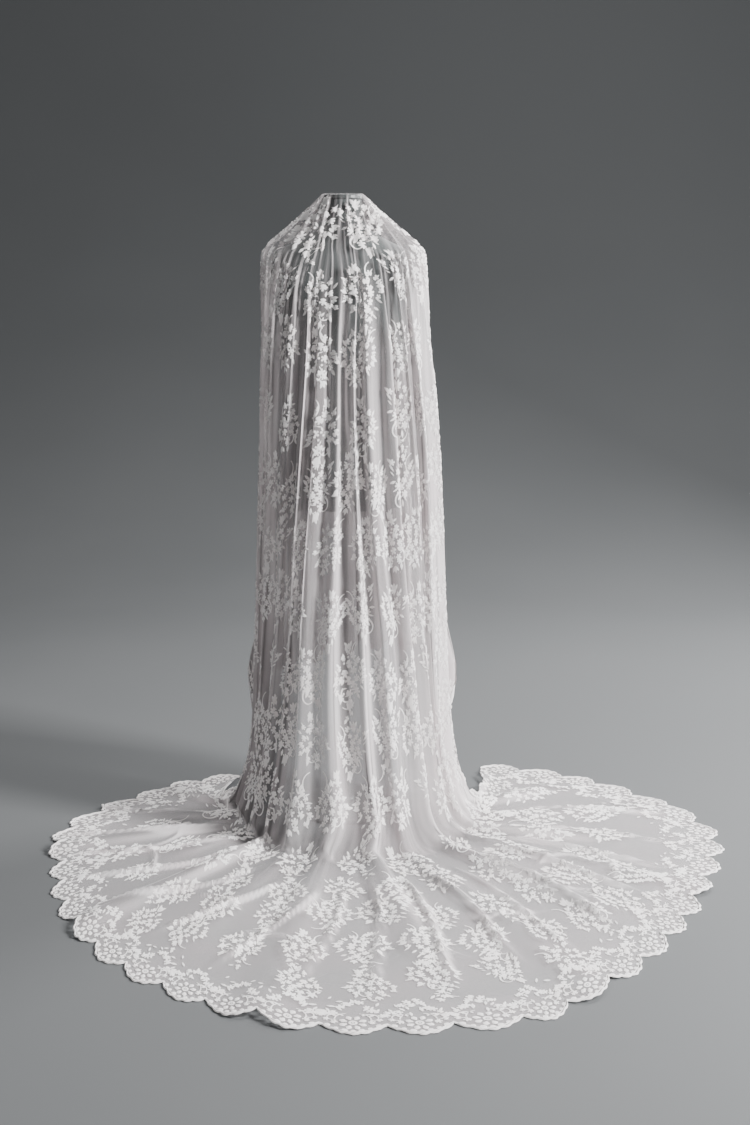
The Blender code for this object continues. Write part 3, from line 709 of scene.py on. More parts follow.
def soft_patches_group():
    """Broad uneven patches over the object's own place, for tints and wear."""
    group, given, result = new_group(
        "soft_patches",
        [("Place", "NodeSocketVector", (0, 0, 0)), ("Scale", "NodeSocketFloat", 6.0)],
        [("Mask", "NodeSocketFloat")],
    )
    noise = group.nodes.new("ShaderNodeTexNoise")
    noise.inputs["Detail"].default_value = 4.0
    noise.inputs["Roughness"].default_value = 0.55
    group.links.new(given.outputs["Place"], noise.inputs["Vector"])
    group.links.new(given.outputs["Scale"], noise.inputs["Scale"])
    ranged = group.nodes.new("ShaderNodeMapRange")
    ranged.inputs["From Min"].default_value = 0.35
    ranged.inputs["From Max"].default_value = 0.68
    group.links.new(noise.outputs["Fac"], ranged.inputs["Value"])
    group.links.new(ranged.outputs["Result"], result.inputs["Mask"])
    return group


def shared_group(name, build):
    return bpy.data.node_groups.get(name) or build()


def add_group(tree, name, build, links=(), values=()):
    node = tree.nodes.new("ShaderNodeGroup")
    node.node_tree = shared_group(name, build)
    for label, source in links:
        tree.links.new(source, node.inputs[label])
    for label, value in values:
        node.inputs[label].default_value = value
    return node


def start_material(name, roughness, sheen=0.0, sheen_roughness=0.5, metallic=0.0):
    material = bpy.data.materials.new(name)
    material.use_nodes = True
    tree = material.node_tree
    shader = tree.nodes["Principled BSDF"]
    shader.inputs["Roughness"].default_value = roughness
    shader.inputs["Metallic"].default_value = metallic
    shader.inputs["Sheen Weight"].default_value = sheen
    shader.inputs["Sheen Roughness"].default_value = sheen_roughness
    return material, tree, shader


def mix_colours(tree, factor, first, second):
    node = tree.nodes.new("ShaderNodeMix")
    node.data_type = "RGBA"
    for socket, value in ((node.inputs["A"], first), (node.inputs["B"], second)):
        pass
    colour_inputs = [s for s in node.inputs if s.type == "RGBA"]
    for socket, value in zip(colour_inputs, (first, second)):
        if hasattr(value, "links"):
            tree.links.new(value, socket)
        else:
            socket.default_value = (*value, 1.0)
    factor_input = [s for s in node.inputs if s.type == "VALUE"][0]
    tree.links.new(factor, factor_input)
    return [s for s in node.outputs if s.type == "RGBA"][0]


def add_bump(tree, shader, height, strength, distance):
    bump = tree.nodes.new("ShaderNodeBump")
    bump.inputs["Strength"].default_value = strength
    bump.inputs["Distance"].default_value = distance
    tree.links.new(height, bump.inputs["Height"])
    tree.links.new(bump.outputs["Normal"], shader.inputs["Normal"])


def net_material(name, cover_gain=1.0):
    """Soft net: its cover grows along folds and where it is gathered, and painted shade darkens its colour
    in the fold hollows, over the near left of the lower fall and along a painted shadow line at the floor.
    """
    settings = bpy.context.scene.veil_net
    material, tree, shader = start_material(name, 0.72, sheen=0.35, sheen_roughness=0.4)
    flat = tree.nodes.new("ShaderNodeUVMap")
    flat.uv_map = "flat"
    place = tree.nodes.new("ShaderNodeTexCoord")
    density = tree.nodes.new("ShaderNodeAttribute")
    density.attribute_name = "gathered"
    holes = add_group(
        tree, "net_holes", net_holes_group,
        [("Flat Place", flat.outputs[0])], [("Mesh Size", settings.hole_size)],
    )
    patches = add_group(
        tree, "soft_patches", soft_patches_group,
        [("Place", place.outputs["Object"])], [("Scale", 7.0)],
    )
    base = settings.net_cover * cover_gain
    cover = maths(tree, "MULTIPLY_ADD", density.outputs["Fac"], settings.fold_cover, base)
    cover = maths(tree, "MULTIPLY_ADD", patches.outputs["Mask"], 0.05, cover)
    yarn = maths(tree, "MULTIPLY_ADD", holes.outputs["Yarn"], 0.56, 0.72)
    cover = maths(tree, "MULTIPLY", cover, yarn, clamp=True)
    tree.links.new(cover, shader.inputs["Alpha"])
    colour = mix_colours(
        tree, patches.outputs["Mask"], tuple(settings.net_colour), tuple(settings.blush_and_shade_colour)
    )
    # Painted shade: the colour darkens towards a near black blush by a per point shade mask.
    painted_shade = tree.nodes.new("ShaderNodeAttribute")
    painted_shade.attribute_name = "painted_shade"
    deep = tuple(value * 0.13 for value in settings.blush_and_shade_colour)
    colour = mix_colours(tree, painted_shade.outputs["Fac"], colour, deep)
    tree.links.new(colour, shader.inputs["Base Color"])
    add_bump(tree, shader, holes.outputs["Yarn"], 0.25, 0.0004)
    return material


def thread_material(name, stitches, strength):
    """Raised cotton embroidery: side by side stitches with a faint lustre and painted shade between them.
    """
    settings = bpy.context.scene.veil_embroidery
    material, tree, shader = start_material(name, 0.58, sheen=0.25, sheen_roughness=0.35)
    flat = tree.nodes.new("ShaderNodeUVMap")
    flat.uv_map = "flat"
    place = tree.nodes.new("ShaderNodeTexCoord")
    grain = add_group(
        tree, "thread_grain", thread_grain_group,
        [("Flat Place", flat.outputs[0])], [("Stitches Per Metre", stitches)],
    )
    patches = add_group(
        tree, "soft_patches", soft_patches_group,
        [("Place", place.outputs["Object"])], [("Scale", 11.0)],
    )
    thread = tuple(settings.thread_colour)
    warm = (thread[0] * 0.97, thread[1] * 0.93, thread[2] * 0.92)
    tinted = mix_colours(tree, patches.outputs["Mask"], thread, warm)
    # Painted shade: the thread darkens between the stitches, where the stitch height is low.
    shaded = tuple(value * 0.80 for value in thread)
    groove_shade = maths(tree, "MULTIPLY_ADD", grain.outputs["Height"], -0.16, 0.20, clamp=True)
    tree.links.new(mix_colours(tree, groove_shade, tinted, shaded), shader.inputs["Base Color"])
    add_bump(tree, shader, grain.outputs["Height"], strength, 0.0004)
    return material


def knit_material(name, colour):
    """Fine knitted cover, matte, with a little lint."""
    material, tree, shader = start_material(name, 0.88, sheen=0.3, sheen_roughness=0.6)
    place = tree.nodes.new("ShaderNodeTexCoord")
    grain = add_group(
        tree, "thread_grain", thread_grain_group,
        [("Flat Place", place.outputs["Object"])],
        [("Stitches Per Metre", 2600.0), ("Unevenness", 0.8)],
    )
    patches = add_group(
        tree, "soft_patches", soft_patches_group,
        [("Place", place.outputs["Object"])], [("Scale", 14.0)],
    )
    lighter = tuple(min(1.0, value * 1.5 + 0.006) for value in colour)
    tree.links.new(
        mix_colours(tree, patches.outputs["Mask"], tuple(colour), lighter),
        shader.inputs["Base Color"],
    )
    add_bump(tree, shader, grain.outputs["Height"], 0.3, 0.0005)
    return material


def paint_material(name, colour, roughness, scale=24.0, wear=0.82):
    """Satin paint with faint rubbed patches."""
    material, tree, shader = start_material(name, roughness)
    place = tree.nodes.new("ShaderNodeTexCoord")
    patches = add_group(
        tree, "soft_patches", soft_patches_group,
        [("Place", place.outputs["Object"])], [("Scale", scale)],
    )
    rubbed = tuple(min(1.0, value * wear + 0.01) for value in colour)
    tree.links.new(
        mix_colours(tree, patches.outputs["Mask"], tuple(colour), rubbed),
        shader.inputs["Base Color"],
    )
    rough = maths(tree, "MULTIPLY_ADD", patches.outputs["Mask"], 0.12, roughness - 0.05)
    tree.links.new(rough, shader.inputs["Roughness"])
    speckle = tree.nodes.new("ShaderNodeTexNoise")
    speckle.inputs["Scale"].default_value = 900.0
    tree.links.new(place.outputs["Object"], speckle.inputs["Vector"])
    add_bump(tree, shader, speckle.outputs["Fac"], 0.08, 0.0003)
    return material


def shared_material(name, build, *values):
    return bpy.data.materials.get(name) or build(name, *values)


# Meshes


def add_piece(name, mesh, material, smooth=True):
    mesh.materials.append(material)
    if smooth:
        mesh.shade_smooth()
    piece = bpy.data.objects.new(name, mesh)
    bpy.context.scene.collection.objects.link(piece)
    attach(piece, "root")
    return piece


def mesh_from(name, points, faces, flat, values=()):
    """A mesh with a flat map per point and, if given, named values per point."""
    mesh = bpy.data.meshes.new(name)
    mesh.from_pydata(points.tolist(), [], faces)
    corners = np.empty(len(mesh.loops), np.int32)
    mesh.loops.foreach_get("vertex_index", corners)
    layer = mesh.uv_layers.new(name="flat")
    layer.data.foreach_set("uv", flat[corners].astype(np.float32).ravel())
    for label, value in values:
        attribute = mesh.attributes.new(label, "FLOAT", "POINT")
        attribute.data.foreach_set("value", value.astype(np.float32))
    return mesh


def grid_normals(points):
    by_column = np.gradient(points, axis=1)
    by_row = np.gradient(points, axis=0)
    normal = np.cross(by_row, by_column)
    return normal / np.maximum(np.linalg.norm(normal, axis=-1, keepdims=True), 1e-12)


def gathered_share(turn, station, points):
    """0 where the net lies flat, to 1 along a fold's edge or deep in the gathers."""
    normal = grid_normals(points)
    smooth = surface_normal(crest_surface, turn, np.minimum(station, CONTACT - 0.05))
    floor = smooth_step(station - CONTACT + 1.0)[..., None]
    smooth = smooth * (1.0 - floor) + np.array([0.0, 0.0, 1.0]) * floor
    slope = 1.0 - np.abs((normal * smooth).sum(axis=-1))
    on_floor = smooth_step((station - CONTACT) / 0.3)
    away = np.abs(signed_turn(turn))
    clear = smooth_step((station - 1.0) / 1.5) * smooth_step((11.0 - station) / 2.5)
    clear = clear * smooth_step((64.0 - away) / 14.0)
    edge = smooth_step(slope / (0.50 - 0.34 * on_floor)) ** (1.0 + clear) * (1.0 - 0.35 * clear)
    phase = fold_phase(turn) * np.ones_like(station)
    strength = np.clip((fold_share(turn) - 0.45) / 0.9, 0.0, 1.0) ** 1.5
    line = np.exp(-((np.sin(math.pi * (phase - 0.05)) / 0.075) ** 2)) * strength
    line = line * (0.62 + 0.38 * np.sin(1.1 * station + 2.3 * phase))
    line = line * smooth_step((station - 1.5) / 1.5) * smooth_step((CONTACT - 1.0 - station) / 2.5)
    front = smooth_step((away - 98.0) / 12.0)
    side = smooth_step((away - 52.0) / 30.0) * (1.0 - 0.80 * front)
    side = side * smooth_step((station - 7.0) / 3.0) * smooth_step((CONTACT + 0.1 - station) / 2.5)
    drift = 0.5 * np.sin(0.9 * station + 1.3 * phase)
    streak = np.sin(2 * math.pi * (3.3 * phase + drift)) + np.sin(2 * math.pi * (5.9 * phase - drift))
    streak = smooth_step(0.5 + 0.32 * streak)
    low = smooth_step((station - 11.5) / 2.5) * smooth_step((CONTACT + 0.4 - station) / 1.2)
    crest = fold_wave(turn) ** 6 * np.clip(fold_share(turn) - 0.35, 0.0, 1.0) * low
    near_crown = 0.14 * smooth_step((2.6 - station) / 1.5)
    total = (1.0 - 0.45 * front) * 0.62 * edge + 0.60 * line + side * (0.20 + 0.62 * streak)
    total = total + low * (0.20 * streak - 0.03) + 0.36 * crest + near_crown + 0.14 * on_floor
    # The painted shade mask also adds cover, so its dark lines show.
    total = total - 0.19 * clear + 0.85 * painted_shade_share(turn, station)
    total = total + 0.42 * roll_share(turn, station)
    return np.clip(total, -0.17, 1.35)


def painted_shade_share(turn, station):
    """Painted shade for the net's colour: 1 deep in the fold hollows of the fall, where little light comes,
    and 0 on the crests, with painted shade over the near left of the lower fall, thin dark lines beside the
    folds and a painted shadow line where the fall meets the floor.
    """
    # Painted shade in the fold hollows and just beside each crest.
    deep = (1.0 - fold_wave(turn)) ** 2 * np.ones_like(station)
    phase = fold_phase(turn) * np.ones_like(station)
    beside = np.exp(-((np.sin(math.pi * (phase - 0.15)) / 0.10) ** 2))
    fall = smooth_step((station - 3.0) / 8.0) * smooth_step((CONTACT + 0.45 - station) / 1.0)
    uneven = 0.7 + 0.3 * np.sin(1.7 * station + 3.1 * phase)
    # Painted shade over the near left of the lower fall, the side away from the key lamp.
    left = smooth_step((-22.0 - signed_turn(turn)) / 14.0) * smooth_step((signed_turn(turn) + 112.0) / 12.0)
    shade = 0.55 * smooth_step((station - 11.5) / 3.5) * smooth_step((18.6 - station) / 1.0)
    # Painted shadow: a dark line just past where the fall meets the floor, beneath the roll.
    roll_shadow = 0.85 * np.exp(-(((station - CONTACT - 0.05) / 0.07) ** 2)) * (0.6 + 0.4 * uneven)
    trough_shade = (0.60 * deep + 0.95 * beside * fold_share(turn)) * fall * uneven
    # Painted shade: thin dark lines beside the folds.
    shadow_slits = np.exp(-((np.sin(math.pi * (phase - 0.62 - 0.02 * station)) / 0.045) ** 2))
    trough_shade = trough_shade + 0.9 * shadow_slits * smooth_step(1.6 * np.sin(0.55 * station + 1.9 * phase)) * fall
    # A faint painted shade over the whole lower fall.
    fall_shade = 0.15 * smooth_step((station - 8.0) / 4.0) * smooth_step((CONTACT + 0.2 - station) / 1.5)
    return np.clip(trough_shade + fall_shade + (shade + roll_shadow) * left, 0.0, 1.0)


def roll_share(turn, station):
    """1 on the gathered roll of slack at the near left, just above the floor."""
    left = smooth_step((-16.0 - signed_turn(turn)) / 14.0) * smooth_step((signed_turn(turn) + 100.0) / 14.0)
    line = 18.0 + 0.35 * np.sin(np.radians(3.0 * signed_turn(turn)))
    return left * np.exp(-(((station - line) / 0.55) ** 2))


def net_grid(name, turn, stations, material, flat_origin=0.0):
    """One layer of net over a grid of turns and stations."""
    points = net_surface(turn, stations)
    across = np.linalg.norm(np.diff(points, axis=1), axis=-1)
    across = np.concatenate([np.zeros((len(points), 1)), np.cumsum(across, axis=1)], axis=1)
    down = np.linalg.norm(np.diff(points, axis=0), axis=-1)
    down = np.concatenate([np.zeros((1, points.shape[1])), np.cumsum(down, axis=0)], axis=0)
    middle = points.shape[1] // 2
    across = across - across[:, middle : middle + 1]
    flat = np.stack([across, down + flat_origin], axis=-1)
    density = gathered_share(turn, stations, points)
    # Painted shade mask for the net's colour, kept on each point.
    painted_shade = painted_shade_share(np.broadcast_to(turn, stations.shape), stations)
    rows, columns = points.shape[:2]
    tip = rows and np.ptp(points[0], axis=0).max() < 1e-3
    number = np.arange(rows * columns).reshape(rows, columns)
    if tip:
        number[0] = number[0, 0]
    a, b = number[:-1, :-1], number[1:, :-1]
    c, d = number[1:, 1:], number[:-1, 1:]
    quads = np.stack([a, b, c, d], axis=-1).reshape(-1, 4)
    faces = [tuple(dict.fromkeys(face)) for face in quads.tolist()]
    used = np.unique(number)
    if len(used) < rows * columns:
        renumber = np.zeros(rows * columns, int)
        renumber[used] = np.arange(len(used))
        faces = [tuple(int(renumber[i]) for i in face) for face in faces]
    mesh = mesh_from(
        name,
        points.reshape(-1, 3)[used],
        faces,
        flat.reshape(-1, 2)[used],
        (("gathered", density.reshape(-1)[used]), ("painted_shade", painted_shade.reshape(-1)[used])),
    )
    return add_piece(name, mesh, material)


class ClothMap:
    """The net's surface over a fine grid, for laying flat embroidery on it.

    Flat places are metres across the cloth from a turn, and metres down from the crown."""

    def __init__(self, turn, stations, gain):
        self.turn = turn
        self.points = net_surface(turn, stations)
        self.normals = grid_normals(self.points)
        self.stations = stations
        step = np.linalg.norm(np.diff(self.points, axis=1), axis=-1)
        zero = np.zeros((len(step), 1))
        self.across = np.concatenate([zero, np.cumsum(step, axis=1)], axis=1)
        grown = step * (gain(turn, stations)[:, 1:] + gain(turn, stations)[:, :-1]) / 2
        self.grown = np.concatenate([zero, np.cumsum(grown, axis=1)], axis=1)
        self.down = np.stack(
            [np.interp(stations[:, i], *line) for i, line in enumerate(zip(*crest_lines(turn)))],
            axis=1,
        )

    def column_of(self, turn):
        return np.interp(turn, self.turn, np.arange(len(self.turn)))

    def row_of(self, column, length):
        near = int(round(float(column)))
        return np.interp(length, self.down[:, near], np.arange(len(self.down)))

    def lay(self, flat, relief, turn, length, lift):
        """Points and normals of a motif whose middle is at a turn and a length."""
        column = self.column_of(turn)
        rows = np.clip(self.row_of(column, length + flat[:, 1]), 0, len(self.down) - 1.001)
        low = rows.astype(int)
        share = (rows - low)[:, None]
        lines = self.grown[low] * (1 - share) + self.grown[low + 1] * share
        whole = int(column)
        part = column - whole
        start = lines[:, whole] * (1 - part) + lines[:, min(whole + 1, lines.shape[1] - 1)] * part
        goal = start + flat[:, 0]
        index = np.clip((lines <= goal[:, None]).sum(axis=1) - 1, 0, lines.shape[1] - 2)
        picked = np.arange(len(goal))
        before, after = lines[picked, index], lines[picked, index + 1]
        along = np.clip((goal - before) / np.maximum(after - before, 1e-9), 0.0, 1.0)[:, None]

        def blend(values):
            top = values[low, index] * (1 - along) + values[low, index + 1] * along
            base = values[low + 1, index] * (1 - along) + values[low + 1, index + 1] * along
            return top * (1 - share) + base * share

        normal = blend(self.normals)
        normal = normal / np.maximum(np.linalg.norm(normal, axis=1, keepdims=True), 1e-9)
        return blend(self.points) + normal * (lift + relief)[:, None]


def crest_lines(turn):
    stations, lengths = line_lengths(turn)
    return np.repeat(stations[None, :], len(turn), axis=0), lengths


def gather_gain(turn, station):
    """How much more cloth there is than the folds of the surface take up."""
    away = np.abs(signed_turn(turn)) * np.ones_like(station)
    fall = smooth_step((station - 5.0) / 5.0) * smooth_step((CONTACT + 0.15 - station) / 3.0)
    side = smooth_step((away - 18.0) / 60.0)
    return 1.0 + fall * (0.28 + 0.75 * side)


# Embroidery shapes, each modelled once, flat


def start_shape():
    if bpy.context.object and bpy.context.object.mode != "OBJECT":
        bpy.ops.object.mode_set(mode="OBJECT")
    bpy.ops.object.select_all(action="DESELECT")


def select_points(shape, wanted):
    bpy.ops.object.mode_set(mode="OBJECT")
    for point in shape.data.vertices:
        point.select = bool(wanted(point))
    for edge in shape.data.edges:
        edge.select = all(shape.data.vertices[i].select for i in edge.vertices)
    for face in shape.data.polygons:
        face.select = all(shape.data.vertices[i].select for i in face.vertices)
    bpy.ops.object.mode_set(mode="EDIT")


def finish_shape(shape):
    """The shape's points and faces; the object itself isn't kept."""
    bpy.ops.object.mode_set(mode="OBJECT")
    points = np.array([tuple(point.co) for point in shape.data.vertices])
    faces = [tuple(face.vertices) for face in shape.data.polygons]
    mesh = shape.data
    bpy.data.objects.remove(shape)
    bpy.data.meshes.remove(mesh)
    return points, faces


def petal_flower(petals, notch, dome):
    """A flower one metre across its radius: rounded petals round a raised middle."""
    start_shape()
    bpy.ops.mesh.primitive_circle_add(vertices=petals * 4, radius=1.0, fill_type="TRIFAN")
    flower = bpy.context.object
    rim = petals * 4
    bpy.ops.object.mode_set(mode="EDIT")
    select_points(flower, lambda p: p.index < rim and p.index % 4 == 0)
    bpy.ops.transform.resize(value=(notch, notch, 1.0), center_override=(0, 0, 0))
    select_points(flower, lambda p: p.index < rim and p.index % 4 in (1, 3))
    bpy.ops.transform.resize(value=(0.93, 0.93, 1.0), center_override=(0, 0, 0))
    select_points(flower, lambda p: p.co.to_2d().length < 0.01)
    bpy.ops.transform.translate(value=(0, 0, dome))
    return finish_shape(flower)


def pointed_leaf(width, dome):
    """A leaf from (0, 0) to (1, 0)."""
    start_shape()
    bpy.ops.mesh.primitive_circle_add(
        vertices=8, radius=0.5, fill_type="TRIFAN", location=(0.5, 0, 0)
    )
    leaf = bpy.context.object
    bpy.ops.object.transform_apply(location=True, rotation=False, scale=False)
    bpy.ops.object.mode_set(mode="EDIT")
    bpy.ops.mesh.select_all(action="SELECT")
    bpy.ops.transform.resize(value=(1.0, width, 1.0), center_override=(0.5, 0, 0))
    select_points(leaf, lambda p: abs(p.co.y) > 0.01 and abs(p.co.x - 0.5) > 0.1)
    bpy.ops.transform.resize(value=(0.85, 0.8, 1.0), center_override=(0.5, 0, 0))
    select_points(leaf, lambda p: (p.co.to_2d() - Vector((0.5, 0.0))).length < 0.01)
    bpy.ops.transform.translate(value=(0, 0, dome))
    return finish_shape(leaf)


def curled_tendril(steps, first_turn, gain, width):
    """A narrow strip that starts along X and curls up more and more, about one metre long."""
    start_shape()
    bpy.ops.mesh.primitive_plane_add(size=1.0, location=(0, 0, 0))
    tendril = bpy.context.object
    bpy.ops.object.mode_set(mode="EDIT")
    select_points(tendril, lambda p: True)
    bpy.ops.transform.resize(value=(1.0 / steps, width, 1.0), center_override=(0, 0, 0))
    heading, place, turn = 0.0, np.array([0.5 / steps, 0.0]), first_turn
    for _ in range(steps - 1):
        end = place.copy()
        select_points(
            tendril,
            lambda p: p.index in last_two(tendril, end),
        )
        heading += turn
        move = np.array([math.cos(heading), math.sin(heading)]) / steps
        bpy.ops.mesh.extrude_region_move(
            TRANSFORM_OT_translate={"value": (float(move[0]), float(move[1]), 0.0)}
        )
        place = place + move
        bpy.ops.transform.rotate(
            value=-turn, orient_axis="Z", center_override=(float(place[0]), float(place[1]), 0.0)
        )
        bpy.ops.transform.resize(
            value=(0.93, 0.93, 1.0), center_override=(float(place[0]), float(place[1]), 0.0)
        )
        turn *= gain
    return finish_shape(tendril)


def last_two(shape, end):
    """The two points of a strip that lie nearest its end."""
    distance = [(p.co.to_2d() - Vector(end)).length for p in shape.data.vertices]
    return set(np.argsort(distance)[:2].tolist())


def round_dot(sides, dome):
    start_shape()
    bpy.ops.mesh.primitive_circle_add(vertices=sides, radius=1.0, fill_type="TRIFAN")
    dot = bpy.context.object
    bpy.ops.object.mode_set(mode="EDIT")
    select_points(dot, lambda p: p.co.to_2d().length < 0.01)
    bpy.ops.transform.translate(value=(0, 0, dome))
    return finish_shape(dot)


def corded_ring(sides, hole):
    """A flat ring with a raised middle line."""
    start_shape()
    bpy.ops.mesh.primitive_circle_add(vertices=sides, radius=1.0, fill_type="NGON")
    ring = bpy.context.object
    bpy.ops.object.mode_set(mode="EDIT")
    bpy.ops.mesh.select_all(action="SELECT")
    bpy.ops.mesh.inset(thickness=(1.0 - hole) / 2, depth=0.0)
    bpy.ops.transform.translate(value=(0, 0, 0.12))
    bpy.ops.mesh.inset(thickness=(1.0 - hole) / 2, depth=0.0)
    bpy.ops.transform.translate(value=(0, 0, -0.12))
    bpy.ops.mesh.delete(type="FACE")
    return finish_shape(ring)


class Motif:
    """A flat arrangement of shapes, in metres: X across the cloth and Y down it."""

    def __init__(self):
        self.points, self.faces, self.count = [], [], 0

    def add(self, shape, x, y, size, angle=0.0, stretch=1.0, relief=0.0012, flip=1.0):
        points, faces = shape
        c, s = math.cos(angle), math.sin(angle)
        px = points[:, 0] * size
        py = points[:, 1] * size * stretch * flip
        laid = np.stack([x + px * c - py * s, y + px * s + py * c, points[:, 2] * relief], axis=1)
        self.points.append(laid)
        order = faces if flip > 0 else [face[::-1] for face in faces]
        self.faces.extend(tuple(i + self.count for i in face) for face in order)
        self.count += len(points)

    def done(self):
        return np.concatenate(self.points), self.faces


def make_shapes():
    return {
        "small": petal_flower(5, 0.40, 0.9),
        "full": petal_flower(6, 0.50, 1.0),
        "leaf": pointed_leaf(0.40, 0.8),
        "slim": pointed_leaf(0.24, 0.7),
        "curl": curled_tendril(12, 0.20, 1.13, 0.075),
        "wave": curled_tendril(8, 0.22, 1.02, 0.075),
        "dot": round_dot(7, 1.0),
        "petal": petal_oval(1.0),
        "ring": corded_ring(14, 0.45),
    }


def petal_oval(dome):
    """A broad rounded petal from (0, 0) to (1, 0), widest near its far end."""
    start_shape()
    bpy.ops.mesh.primitive_circle_add(
        vertices=12, radius=0.5, fill_type="TRIFAN", location=(0.5, 0, 0)
    )
    petal = bpy.context.object
    bpy.ops.object.transform_apply(location=True, rotation=False, scale=False)
    bpy.ops.object.mode_set(mode="EDIT")
    select_points(petal, lambda p: p.co.x < 0.4)
    bpy.ops.transform.resize(value=(1.0, 0.62, 1.0), center_override=(0.0, 0, 0))
    select_points(petal, lambda p: p.co.x > 0.6)
    bpy.ops.transform.resize(value=(0.96, 0.86, 1.0), center_override=(0.0, 0, 0))
    select_points(petal, lambda p: (p.co.to_2d() - Vector((0.5, 0.0))).length < 0.05)
    bpy.ops.transform.translate(value=(0.1, 0, dome))
    return finish_shape(petal)


# Half widths of the sprays at eight rows from their lower to their upper end
SPRAY_OUTLINES = (
    (0.05, 0.36, 0.66, 0.95, 1.0, 0.92, 0.58, 0.05),
    (0.05, 0.22, 0.48, 0.74, 1.05, 1.15, 0.95, 0.40),
    (0.45, 0.95, 1.20, 0.98, 0.72, 0.50, 0.30, 0.05),
    (0.05, 0.60, 0.85, 0.62, 0.92, 1.10, 0.62, 0.10),
    (0.25, 0.72, 1.05, 1.18, 1.12, 0.96, 0.60, 0.20),
)


def spray_motif(shapes, seed, reach):
    """A spray of small flowers and leaves with one or two tendrils, in a given outline."""
    chance = np.random.default_rng(seed)
    motif = Motif()
    length = bpy.context.scene.veil_embroidery.spray_length
    half, wide = length / 2, length * 0.31
    lean_over = chance.uniform(-0.22, 0.22)
    rows = (-0.84, -0.62, -0.38, -0.14, 0.10, 0.34, 0.58, 0.80)
    for row, spread in zip(rows, reach):
        count = 1 + round(3.6 * spread)
        places = np.linspace(-spread, spread, count) if count > 1 else np.zeros(1)
        for place in places:
            x = place * wide + lean_over * row * half + chance.uniform(-0.003, 0.003)
            y = row * half + chance.uniform(-0.004, 0.004)
            if chance.random() < 0.08:
                continue
            big = abs(place) < 0.6 and abs(row) < 0.6
            size = chance.uniform(0.0092, 0.0112) if big else chance.uniform(0.0072, 0.0092)
            kind = "full" if big and chance.random() < 0.35 else "small"
            motif.add(shapes[kind], x, y, size, chance.uniform(0, 6.28))
    for row in np.linspace(-0.78, 0.76, 9):
        for side in (-1.0, 1.0):
            edge = np.interp(row, rows, reach) * wide
            x, y = side * edge * chance.uniform(0.72, 0.98), row * half + chance.uniform(-0.004, 0.004)
            angle = math.atan2(1.7 * y, x) + chance.uniform(-0.55, 0.55)
            kind = "leaf" if chance.random() < 0.7 else "slim"
            motif.add(
                shapes[kind], x + lean_over * row * half, y, chance.uniform(0.015, 0.024), angle
            )
    for row in np.linspace(-0.66, 0.66, 8):
        spread = 0.55 * np.interp(row, rows, reach)
        for place in (-spread, 0.0, spread):
            x = (place + chance.uniform(-0.16, 0.16)) * wide + lean_over * row * half
            y = row * half + chance.uniform(-0.005, 0.005)
            kind = ("leaf", "slim", "dot")[chance.integers(3)]
            size = 0.0034 if kind == "dot" else chance.uniform(0.011, 0.017)
            motif.add(shapes[kind], x, y, size, chance.uniform(0, 6.28))
    for end in (-1.0, 1.0):
        for lean_out in (-0.5, 0.1, 0.6):
            motif.add(
                shapes["leaf"], lean_over * end * half, end * half * 0.88,
                chance.uniform(0.015, 0.024), end * math.pi / 2 + lean_out,
            )
    side = chance.choice((-1.0, 1.0))
    motif.add(
        shapes["curl"], side * wide * 0.55, half * 0.35, 0.070,
        math.pi / 2 - side * 0.75, flip=side,
    )
    if chance.random() < 0.6:
        motif.add(
            shapes["wave"], -side * wide * 0.6, -half * 0.45, 0.055,
            -math.pi / 2 + side * 0.6, flip=-side,
        )
    return motif.done()


def sprig_motif(shapes, seed):
    """Two or three small flowers on a curved stem with a few leaves."""
    chance = np.random.default_rng(seed)
    motif = Motif()
    motif.add(shapes["wave"], 0.0, -0.022, 0.048, math.pi / 2 + chance.uniform(-0.3, 0.3))
    for step in (0.0, 0.5, 1.0):
        x, y = chance.uniform(-0.007, 0.007), 0.020 - 0.034 * step
        motif.add(shapes["small"], x, y, chance.uniform(0.0065, 0.0088), chance.uniform(0, 6.28))
    for _ in range(6):
        y = chance.uniform(-0.024, 0.026)
        side = chance.choice((-1.0, 1.0))
        angle = math.pi / 2 - side * chance.uniform(0.5, 1.3)
        motif.add(shapes["leaf"], side * 0.004, y, chance.uniform(0.010, 0.015), angle)
    return motif.done()


